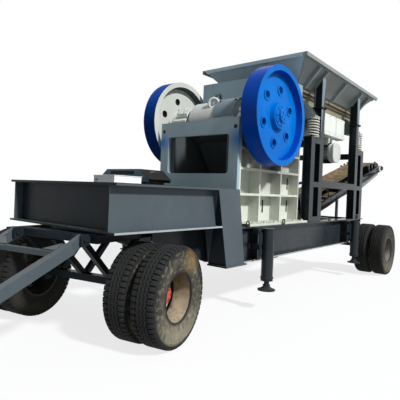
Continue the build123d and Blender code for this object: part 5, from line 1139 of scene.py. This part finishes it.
# crusher: bearing covers and caps, cap bolts, hub locks, lifting ring, painted shade in holes and slots, and guard
crusherDesign = {
    "coverRadius": 0.205, "coverBore": 0.112, "coverThickness": 0.014, "coverLip": 0.008, "coverBolts": 10,
    "coverBoltInset": 0.028, "capBoltInset": 0.062, "capBoltOut": (0.575, 0.69), "capBoltHeight": 2.812,
    "hubOut": 1.030, "hubBolts": 8, "hubCircle": 0.122, "capCircle": 0.048, "footBolts": 6, "footInset": 0.16,
    "footOut": 0.885, "footHeight": 1.150,
}
hubRing = [(0.091, 0.0), (0.091, 0.012), (0.150, 0.012), (0.154, 0.008), (0.154, 0.0)]
hubCap = [(0.0, 0.030), (0.086, 0.030), (0.086, 0.040), (0.078, 0.046), (0.0, 0.046)]


def crusherFittings():
    low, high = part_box("bearing_housings")
    covers, hub, coverBolts, capBolts, hubBolts, feet = bmesh.new(), bmesh.new(), [], [], [], []
    thick, radius = crusherDesign["coverThickness"], crusherDesign["coverRadius"]
    bore, lip = crusherDesign["coverBore"], thick + crusherDesign["coverLip"]
    cover = [
        (bore, 0.0), (bore, lip), (0.135, lip), (0.142, thick), (radius - 0.004, thick),
        (radius, thick - 0.004), (radius, 0.0),
    ]
    side0, side1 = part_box("crusher_side_near")
    inset, last = crusherDesign["footInset"], crusherDesign["footBolts"] - 1
    for side in (-1, 1):
        matrix = axisFrame((shaftX, high.y * side, shaftZ), (0, side, 0))
        addLathe(covers, matrix, cover, 64)
        boltCircle = radius - crusherDesign["coverBoltInset"]
        coverBolts += ringOn(matrix, boltCircle, crusherDesign["coverBolts"], thick, 0.2)
        for x in (low.x + crusherDesign["capBoltInset"], high.x - crusherDesign["capBoltInset"]):
            for out in crusherDesign["capBoltOut"]:
                capBolts.append(((x, side * out, crusherDesign["capBoltHeight"]), (0, 0, 1)))
        matrix = axisFrame((shaftX, side * crusherDesign["hubOut"], shaftZ), (0, side, 0))
        addLathe(hub, matrix, hubRing, 56)
        addLathe(hub, matrix, hubCap, 40, closed=False)
        hubBolts += ringOn(matrix, crusherDesign["hubCircle"], crusherDesign["hubBolts"], hubRing[1][1])
        hubBolts += ringOn(matrix, crusherDesign["capCircle"], 4, hubCap[-1][1], 0.4)
        for step in range(last + 1):
            x = side0.x + inset + step * (side1.x - side0.x - 2 * inset) / last
            feet.append(((x, side * crusherDesign["footOut"], crusherDesign["footHeight"]), (0, 0, 1)))
    finishPiece("bearingCovers", covers, "chassis", [whiteEnamel], 30)
    boltsOn("bearingCoverBolts", coverBolts, "chassis", radius=0.012, height=0.010, thread=0.004)
    boltsOn("bearingCapBolts", capBolts, "chassis", radius=0.030, height=0.030, thread=0.085,
        material=castingPaint)
    finishPiece("hubLocks", hub, "rotor", [blueEnamel], 30)
    boltsOn("hubLockBolts", hubBolts, "rotor", radius=0.013, height=0.010, thread=0.006, material=blueEnamel)
    boltsOn("crusherFootBolts", feet, "chassis", radius=0.020, height=0.018, thread=0.028,
        material=castingPaint)


castingTrim = {
    "capStart": {1: -174, -1: 6}, "capSweep": 168, "ringAt": (-0.222, 0.020, 0.248),
    "ringAxis": (-1, -0.5, 0), "ringReach": 0.076, "ringThick": 0.024, "holeOut": 0.678,
    "holeHeights": (1.590, 2.480), "holeDepth": 0.018, "holeRadius": 0.0298, "slotHalf": (0.021, 0.10),
    "slotOut": (0.5502, 0.5520), "slots": ((0.118, 1.755), (0.118, 1.372), (-0.690, 1.372)),
}
capProfile = [
    (0.225, 0.512), (0.262, 0.520), (0.276, 0.545), (0.276, 0.590), (0.262, 0.606), (0.254, 0.640),
    (0.262, 0.674), (0.276, 0.690), (0.276, 0.725), (0.260, 0.745), (0.225, 0.752),
]
ringNut = [(0.0, -0.022), (0.034, -0.022), (0.040, -0.014), (0.040, 0.014), (0.034, 0.022), (0.0, 0.022)]
pulleyHoleShadeDiscs = {
    "count": 6, "circle": 0.395, "radius": 0.0579, "thickness": 0.008, "depth": 0.955, "phase": 2 / 3,
}


def crusherTrim():
    # bearing caps with two strengthening rings, the lifting ring, and black discs and plates of painted shade in
    # the wall holes, the side slots and the pulley's holes
    caps, ring, dark, holeShadeDiscs = (bmesh.new() for _ in range(4))
    for side, start in castingTrim["capStart"].items():
        matrix = axisFrame((shaftX, 0, shaftZ), (0, side, 0))
        turn = {"start": math.radians(start), "sweep": math.radians(castingTrim["capSweep"])}
        addLathe(caps, matrix, capProfile, 40, **turn)
    finishPiece("bearingCaps", caps, "chassis", [castingPaint], 32)
    place = Vector((shaftX, 0, shaftZ)) + Vector(castingTrim["ringAt"])
    matrix = axisFrame(place, castingTrim["ringAxis"])
    addRing(ring, matrix, castingTrim["ringReach"], castingTrim["ringThick"], 40)
    addLathe(ring, matrix, ringNut, 6, 1, closed=False)
    finishPiece("liftingRing", ring, "pitman", [castingPaint, zincBolt], 40)
    for y in (-castingTrim["holeOut"], castingTrim["holeOut"]):
        for z in castingTrim["holeHeights"]:
            matrix = axisFrame((crusherX + castingTrim["holeDepth"], y, z), (-1, 0, 0))
            addDisc(dark, matrix, castingTrim["holeRadius"], 0.0, 0.012, 24)
    wide, tall = castingTrim["slotHalf"]
    for x, z in castingTrim["slots"]:
        for side in (-1, 1):
            addSideBox(dark, side, (x - wide, x + wide), castingTrim["slotOut"], (z - tall, z + tall))
    finishPiece("darkOpenings", dark, "chassis", [shadeBlack])
    for step in range(pulleyHoleShadeDiscs["count"]):
        turn = 2 * math.pi * (step + pulleyHoleShadeDiscs["phase"]) / pulleyHoleShadeDiscs["count"]
        across, up = polar(pulleyHoleShadeDiscs["circle"], turn)
        matrix = axisFrame((shaftX + across, pulleyHoleShadeDiscs["depth"], shaftZ + up), (0, 1, 0))
        addDisc(holeShadeDiscs, matrix, pulleyHoleShadeDiscs["radius"], 0.0, pulleyHoleShadeDiscs["thickness"], 28)
    finishPiece("pulleyWeights", holeShadeDiscs, "rotor", [shadeBlack])


headGuard = {
    "radius": 0.331, "thick": 0.006, "from": 40, "to": 178, "near": -0.428, "far": -0.045, "steps": 24,
    "boltsAt": (66, 128), "boltInset": 0.05,
}


def pitmanGuard():
    # a rolled cover plate over the near half of the pitman's head
    work = bmesh.new()
    inner, outer = headGuard["radius"], headGuard["radius"] + headGuard["thick"]
    near, far, inset = headGuard["near"], headGuard["far"], headGuard["boltInset"]

    def away(degrees):
        return Vector((math.cos(math.radians(degrees)), 0, math.sin(math.radians(degrees))))

    def place(degrees, reach, y):
        return Vector((shaftX, y, shaftZ)) + away(degrees) * reach

    turns = [headGuard["from"] + (headGuard["to"] - headGuard["from"]) * step / headGuard["steps"]
             for step in range(headGuard["steps"] + 1)]
    section = ((inner, near), (outer, near), (outer, far), (inner, far))
    skinRings(work, [[work.verts.new(place(turn, reach, y)) for reach, y in section] for turn in turns])
    finishPiece("headGuard", work, "pitman", [greyEnamel], 30)
    spots = [(place(turn, outer, y), away(turn))
             for turn in headGuard["boltsAt"] for y in (near + inset, far - inset)]
    boltsOn("headGuardBolts", spots, "pitman", radius=0.014, height=0.012, material=blackTube)


crusherFittings()
crusherTrim()
pitmanGuard()

# lashing eyes, jacks and cabinet
lashingRings = {
    "stations": (-1.735, -0.723, 1.073, 2.60), "out": 0.952, "reach": 0.036, "thick": 0.008, "rise": 0.004,
    "padHalf": (0.022, 0.012), "padThickness": 0.012,
}


def lashingEyes():
    work = bmesh.new()
    size, top = lashingRings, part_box("main_beams")[1].z
    long, wide = size["padHalf"]
    for x in size["stations"]:
        for y in (-size["out"], size["out"]):
            ringFrame = axisFrame((x, y, top + size["reach"] + size["rise"]), (0, 1, 0))
            addRing(work, ringFrame, size["reach"], size["thick"])
            addBox(work, (x - long, y - wide, top), (x + long, y + wide, top + size["padThickness"]), 0.002)
    finishPiece("lashingEyes", work, "chassis", [blackTube], 40)


jackDesign = {
    "cap": [(0.0, 0.0), (0.0845, 0.0), (0.0845, 0.012), (0.070, 0.016), (0.0, 0.016)],
    "collar": [(0.080, 0.022), (0.0875, 0.026), (0.0875, 0.052), (0.080, 0.056)],
    "footBead": (0.004, 0.0805, 0.0045), "bead": (0.0800, 0.0025), "beadHeights": (0.600, 0.685),
    "rackBack": -0.104, "rackRoot": -0.150, "rackTip": -0.168, "rackHeights": (0.74, 1.05), "teeth": 9,
    "firstTooth": 1.035, "toothPitch": 0.034, "rackThickness": 0.014, "rackIn": 0.050,
}


def jackDress():
    # cap, collar and weld beads on each tube, and the toothed rack plate beside it
    work = bmesh.new()
    bottom, top = (corner.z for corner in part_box("jack_tubes"))
    back, root, tip = jackDesign["rackBack"], jackDesign["rackRoot"], jackDesign["rackTip"]
    lowest, highest = jackDesign["rackHeights"]
    footRise, footReach, footThick = jackDesign["footBead"]
    outline = [(root, lowest), (back, lowest), (back, highest), (root, highest)]
    for tooth in range(jackDesign["teeth"]):
        z = jackDesign["firstTooth"] - tooth * jackDesign["toothPitch"]
        outline += [(root, z), (tip, z - 0.004), (tip, z - 0.014), (root, z - 0.018)]
    for name in ("front_near", "front_far", "rear_near", "rear_far"):
        low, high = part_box("jack_leg_" + name)
        x, y = (low.x + high.x) / 2, (low.y + high.y) / 2

        def level(z):
            return Matrix.Translation((x, y, z))

        addLathe(work, level(top), jackDesign["cap"], 40, closed=False)
        addLathe(work, level(bottom), jackDesign["collar"], 40)
        addRing(work, level(bottom + footRise), footReach, footThick, 40)
        for bead in jackDesign["beadHeights"]:
            addRing(work, level(bead), *jackDesign["bead"], 40)
        rackY = y - math.copysign(jackDesign["rackIn"], y)
        rackFrame = axisFrame((0, rackY, 0), (0, -1, 0), (1, 0, 0))
        addPlate(work, [(x + dx, z) for dx, z in outline], jackDesign["rackThickness"], rackFrame)
    finishPiece("jackFittings", work, "chassis", [charcoalEnamel], 35)


cabinetDesign = {
    "plinthOver": 0.004, "plinthHeight": 0.010, "lidOver": 0.006, "lidHeights": (-0.005, 0.003),
    "latchIn": (0.075, 0.030), "latchHeights": (0.034, 0.046), "latchDepth": 0.005,
}


def cabinetTrim():
    # plinth, lid and latch of the low cabinet on the deck
    low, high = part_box("control_cabinet")
    work = bmesh.new()
    over, lid = cabinetDesign["plinthOver"], cabinetDesign["lidOver"]
    plinthTop = low.z + cabinetDesign["plinthHeight"]
    addBox(work, (low.x - over, low.y - over, low.z), (high.x + over, high.y + over, plinthTop), 0.0, 1)
    lidLow, lidHigh = (high.z + rise for rise in cabinetDesign["lidHeights"])
    addBox(work, (low.x - lid, low.y - lid, lidLow), (high.x + lid, high.y + lid, lidHigh), 0.002)
    latchLow, latchHigh = (low.z + rise for rise in cabinetDesign["latchHeights"])
    latchNear, latchFar = (high.y - inset for inset in cabinetDesign["latchIn"])
    latchFront = low.x - cabinetDesign["latchDepth"]
    addBox(work, (latchFront, latchNear, latchLow), (low.x, latchFar, latchHigh), 0.001, 1)
    finishPiece("cabinetTrim", work, "chassis", [panelWhite, blackTube])


lashingEyes()
jackDress()
cabinetTrim()
print("crusher, jack and cabinet fittings done")

# discharge conveyor: troughed belt on idler sets, with skirts over the loading end
conveyorDesign = {
    "pulleyRadius": 0.150, "belt": 0.012, "beltWidth": 0.650, "flatWidth": 0.250, "troughAngle": 24,
    "idlerSets": 9, "easing": 0.75, "sag": 0.018, "sags": 5, "topSteps": 60, "wrapSteps": 16,
    "returnSteps": 20,
}


def conveyorFrame():
    # the pulleys sit in the low front and high rear corners of their node's box; the frame's X runs along
    # the belt and its Z stands square to it
    low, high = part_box("conveyor_pulleys")
    radius = conveyorDesign["pulleyRadius"]
    tail = Vector((low.x + radius, 0, low.z + radius))
    along = Vector((high.x - radius, 0, high.z - radius)) - tail
    return axisFrame(tail, Vector((-along.z, 0, along.x)), along), along.length


conveyorMatrix, conveyorLength = conveyorFrame()


def troughShare(u):
    # 0 at the pulleys, where the belt is flat, and 1 where it is fully troughed
    ease = min(1.0, max(0.0, min(u, conveyorLength - u) / conveyorDesign["easing"]))
    return ease * ease * (3 - 2 * ease)


def beltLoop():
    # place and outward way along the closed loop, and how far the wings are lifted there
    radius, loop = conveyorDesign["pulleyRadius"], []
    top, wrap, back = (conveyorDesign[key] for key in ("topSteps", "wrapSteps", "returnSteps"))
    for step in range(top + 1):
        u = conveyorLength * step / top
        loop.append((Vector((u, 0, radius)), Vector((0, 0, 1)), troughShare(u)))
    for step in range(1, wrap):
        way = Vector((math.sin(math.pi * step / wrap), 0, math.cos(math.pi * step / wrap)))
        loop.append((Vector((conveyorLength, 0, 0)) + way * radius, way, 0.0))
    for step in range(back + 1):
        sag = conveyorDesign["sag"] * math.sin(math.pi * ((step / back * conveyorDesign["sags"]) % 1))
        loop.append((Vector((conveyorLength * (1 - step / back), 0, -radius - sag)), Vector((0, 0, -1)), 0.0))
    for step in range(1, wrap):
        way = Vector((-math.sin(math.pi * step / wrap), 0, -math.cos(math.pi * step / wrap)))
        loop.append((way * radius, way, 0.0))
    return loop


def troughedBelt():
    thick = conveyorDesign["belt"]
    half, flat = conveyorDesign["beltWidth"] / 2, conveyorDesign["flatWidth"] / 2
    angle = math.radians(conveyorDesign["troughAngle"])
    across = [-half, -(half + flat) / 2, -flat, -flat * 0.5, flat * 0.5, flat, (half + flat) / 2, half]
    work = bmesh.new()
    rings = []
    for place, outward, share in beltLoop():
        lifted = []
        for y in across:
            wing = max(0.0, abs(y) - flat)
            out, up = polar(wing, angle * share)
            lifted.append(Vector((0, math.copysign(flat + out, y) if wing else y, up)))
        under, over = (
            [work.verts.new(conveyorMatrix @ (place + lift + outward * layer)) for lift in lifted]
            for layer in (0.0, thick))
        rings.append(under + over[::-1])
    skinRings(work, rings, looped=True)
    finishPiece("troughedBelt", work, "chassis", [belting], 40, "conveyor_belt")


idlerTree, idlerSizes = newShapeTree("idlerSets", {"Sets": 9, "Spacing": 0.7})
idlerStep = addNode(idlerTree, "ShaderNodeCombineXYZ", {"X": idlerSizes["Spacing"]})
idlerLine = addNode(idlerTree, "GeometryNodeMeshLine", {"Count": idlerSizes["Sets"], "Offset": idlerStep})
closeTree(idlerTree, idlerSizes, copiesOn(idlerTree, idlerLine.outputs["Mesh"], idlerSizes["Geometry"]))

idlerDesign = {
    "rollRadius": 0.046, "endGap": 0.006, "wingGap": 0.004, "wingLength": 0.205, "beltGap": 0.001,
    "postOut": 0.350, "postDrop": 0.055, "angleHalfLength": 0.41, "angleHalfWidth": 0.030,
    "angleHeights": (-0.012, -0.004), "angleLip": 0.040, "footHalf": (0.028, 0.006),
    "footHeights": (-0.006, 0.075), "outerThickness": 0.006, "innerThickness": 0.005, "innerGap": 0.002,
    "innerDrop": 0.010,
}
outerBracket = [(-0.022, -0.072), (0.022, -0.072), (0.014, 0.115), (-0.014, 0.115)]
innerBracket = [(-0.018, -0.040), (0.018, -0.040), (0.012, 0.030), (-0.012, 0.030)]


def idlerSet():
    # one troughing set: three rolls on brackets over a cross angle, under a belt at Z = pulleyRadius
    work = bmesh.new()
    size, flat = idlerDesign, conveyorDesign["flatWidth"] / 2
    angle = math.radians(conveyorDesign["troughAngle"])
    roll, gap, postOut = size["rollRadius"], size["endGap"], size["postOut"]
    top = conveyorDesign["pulleyRadius"] - size["beltGap"]
    runs = [((0, -flat + gap, top - roll), (0, 1, 0), 2 * (flat - gap))]
    for side in (-1, 1):
        way = Vector((0, side * math.cos(angle), math.sin(angle)))
        under = Vector((0, side * math.sin(angle), -math.cos(angle)))
        start = Vector((0, side * (flat + size["wingGap"]), top)) + under * roll
        runs.append((start, way, size["wingLength"]))
        place = (0, side * postOut, top - size["postDrop"])
        addPlate(work, outerBracket, size["outerThickness"], axisFrame(place, (0, side, 0), (1, 0, 0)))
        place = (0, side * (flat + size["innerGap"]), top - roll - size["innerDrop"])
        addPlate(work, innerBracket, size["innerThickness"], axisFrame(place, (0, side, 0), (1, 0, 0)))
    for start, way, length in runs:
        profile = [
            (0.0, 0.0), (roll * 0.55, 0.0), (roll, gap), (roll, length - gap), (roll * 0.55, length),
            (0.0, length)]
        addLathe(work, axisFrame(start, way), profile, 14, closed=False)
    wide, long, (low, high) = size["angleHalfWidth"], size["angleHalfLength"], size["angleHeights"]
    addBox(work, (-wide, -long, low), (wide, long, high))
    addBox(work, (-wide, -long, low), (-wide + gap, long, size["angleLip"]))
    footX, footY = size["footHalf"]
    for side in (-1, 1):
        addSideBox(work, side, (-footX, footX), (postOut - footY, postOut + footY), size["footHeights"])
    return meshOf(work, "idlerSet")


def conveyorIdlers():
    sets, easing = conveyorDesign["idlerSets"], conveyorDesign["easing"]
    sizes = {"Sets": sets, "Spacing": (conveyorLength - 2 * easing) / (sets - 1)}
    mesh = grownMesh("idlers", idlerSet(), idlerTree, blackTube, sizes)
    mesh.transform(conveyorMatrix @ Matrix.Translation((easing, 0, 0)))
    finishPiece("conveyorIdlers", mesh, "chassis", (), 35, "conveyor_rollers")


skirtDesign = {
    "run": (0.55, 2.75), "out": (0.345, 0.351), "heights": (0.262, 0.45), "postsFrom": 0.62, "posts": 5,
    "postPitch": 0.5, "postHalf": 0.02, "postOut": (0.351, 0.40), "postHeights": (0.07, 0.40),
}
headBrackets = {
    "back": (0.30, 0.56, 0.82), "half": 0.032, "out": (0.372, 0.384), "heights": (0.06, 0.235),
    "topHalf": 0.045, "topOut": (0.366, 0.390), "topHeights": (0.215, 0.245),
}
bearingDesign = {
    "out": 0.455, "bodyHalf": (0.085, 0.040), "bodyThickness": 0.016, "boltAt": 0.066,
}
bearingProfile = [
    (0.0, 0.0), (0.062, 0.0), (0.066, 0.006), (0.066, 0.020), (0.048, 0.030), (0.046, 0.044), (0.0, 0.044),
]


def conveyorSkirts():
    # skirt plates on posts along the loading end, and guard brackets beside the head end
    skirts = bmesh.new()
    boxes = [(skirtDesign["run"], skirtDesign["out"], skirtDesign["heights"])]
    for post in range(skirtDesign["posts"]):
        x, half = skirtDesign["postsFrom"] + post * skirtDesign["postPitch"], skirtDesign["postHalf"]
        boxes.append(((x - half, x + half), skirtDesign["postOut"], skirtDesign["postHeights"]))
    for x in (conveyorLength - back for back in headBrackets["back"]):
        half, top = headBrackets["half"], headBrackets["topHalf"]
        boxes.append(((x - half, x + half), headBrackets["out"], headBrackets["heights"]))
        boxes.append(((x - top, x + top), headBrackets["topOut"], headBrackets["topHeights"]))
    for side in (-1, 1):
        for xs, outs, zs in boxes:
            addSideBox(skirts, side, xs, outs, zs, conveyorMatrix)
    finishPiece("conveyorSkirts", skirts, "chassis", [charcoalEnamel])


def pulleyBearings():
    # flanged bearings on the pulley shafts, outside the channels
    bearings, spots = bmesh.new(), []
    (long, wide), thick = bearingDesign["bodyHalf"], bearingDesign["bodyThickness"]
    for x in (0.0, conveyorLength):
        for side in (-1, 1):
            place = conveyorMatrix @ Vector((x, side * bearingDesign["out"], 0))
            matrix = axisFrame(place, (0, side, 0), conveyorMatrix.to_3x3() @ Vector((1, 0, 0)))
            addLathe(bearings, matrix, bearingProfile, 32, closed=False)
            addBox(bearings, (-long, -wide, 0.0), (long, wide, thick), 0.004, 0, matrix)
            for dx in (-bearingDesign["boltAt"], bearingDesign["boltAt"]):
                spots.append((matrix @ Vector((dx, 0, thick)), (0, side, 0)))
    finishPiece("pulleyBearings", bearings, "chassis", [blackTube], 35)
    boltsOn("pulleyBearingBolts", spots, "chassis", radius=0.012, height=0.010)


troughedBelt()
conveyorIdlers()
conveyorSkirts()
pulleyBearings()
print("conveyor done")

# camera, floor and lights
cameraView = {
    "fromKingpin": (-2.826, -3.901, 1.568), "yaw": 39.4, "pitch": -0.35, "roll": 2.32, "lens": 37.29,
    "shift": (0.0087, -0.016), "clipEnd": 200,
}
studioLight = {
    "towardsSun": (-0.06, -1.0, 0.86), "sunStrength": 4.1, "sunAngle": 6, "sky": 0.32,
    "skyColour": (0.88, 0.95, 1, 1), "floorShadow": 0.22, "floorBounce": 0.42, "floorWhite": 0.86,
    "floorSize": 120, "floorDrop": 0.002,
}


def placeCamera():
    kingpin = next(joint for joint in frame["joints"] if joint["child"] == "bogie")
    place = Vector((kingpin["pos_m"][0], 0, 0)) + Vector(cameraView["fromKingpin"])
    yaw, pitch, roll = (math.radians(cameraView[key]) for key in ("yaw", "pitch", "roll"))
    ahead = Vector((math.cos(yaw) * math.cos(pitch), math.sin(yaw) * math.cos(pitch), math.sin(pitch)))
    level = Vector((math.sin(yaw), -math.cos(yaw), 0))
    right = math.cos(roll) * level + math.sin(roll) * level.cross(ahead)
    above = right.cross(ahead)
    camera = bpy.data.objects.new("camera", bpy.data.cameras.new("camera"))
    bpy.context.collection.objects.link(camera)
    camera.matrix_world = Matrix.Translation(place) @ Matrix((right, above, -ahead)).transposed().to_4x4()
    camera.data.lens = cameraView["lens"]
    camera.data.shift_x, camera.data.shift_y = cameraView["shift"]
    camera.data.clip_end = cameraView["clipEnd"]
    bpy.context.scene.camera = camera


def placeSun():
    light = bpy.data.objects.new("sunLight", bpy.data.lights.new("sunLight", "SUN"))
    light.data.energy = studioLight["sunStrength"]
    light.data.angle = math.radians(studioLight["sunAngle"])
    light.rotation_euler = (-Vector(studioLight["towardsSun"])).to_track_quat("-Z", "Y").to_euler()
    bpy.context.collection.objects.link(light)


def seenRays(tree):
    # 1 for rays that the camera, a gloss or a glass sees, which all show the white studio
    path = addNode(tree, "ShaderNodeLightPath").outputs
    rays = (path["Is Camera Ray"], path["Is Glossy Ray"])
    direct = addNode(tree, "ShaderNodeMath", rays, operation="MAXIMUM")
    return addNode(tree, "ShaderNodeMath", (direct, path["Is Transmission Ray"]), operation="MAXIMUM")


def pearlSky():
    world = bpy.data.worlds.new("studio")
    world.use_nodes = True
    bpy.context.scene.world = world
    tree = world.node_tree
    sky = {"Color": studioLight["skyColour"], "Strength": studioLight["sky"]}
    soft = addNode(tree, "ShaderNodeBackground", sky)
    white = addNode(tree, "ShaderNodeBackground", {"Color": (1, 1, 1, 1), "Strength": 1.0})
    both = addNode(tree, "ShaderNodeMixShader", (seenRays(tree), soft, white))
    feed(tree, tree.nodes["World Output"], {"Surface": both})


def paleFloor():
    # white where it is seen, with a faint shadow; a grey yard to the light that bounces off it
    material, tree, shader, _ = newMaterial("paleStudioFloor")
    seen, bounce, pale = seenRays(tree), studioLight["floorBounce"], studioLight["floorWhite"]
    tones = {0: seen, 6: (bounce, bounce * 0.98, bounce * 0.94, 1), 7: (pale, pale, pale, 1)}
    colour = addNode(tree, "ShaderNodeMix", tones, data_type="RGBA").outputs[2]
    feed(tree, shader, {"Base Color": colour, "Roughness": 0.95, "Specular IOR Level": 0.0})
    glow = addNode(tree, "ShaderNodeEmission", {"Color": (1, 1, 1, 1), "Strength": 1.0})
    share = addNode(tree, "ShaderNodeMath", (seen, 1 - studioLight["floorShadow"]), operation="MULTIPLY")
    mixed = addNode(tree, "ShaderNodeMixShader", (share, shader, glow))
    feed(tree, tree.nodes["Material Output"], {"Surface": mixed})
    bpy.ops.mesh.primitive_plane_add(size=studioLight["floorSize"])
    floor = bpy.context.object
    floor.name = "floor"
    floor.location.z = -studioLight["floorDrop"]
    floor.data.materials.append(material)


placeCamera()
placeSun()
pearlSky()
paleFloor()
print("camera, lights and floor done")
bpy.context.scene.view_settings.view_transform = "Standard"
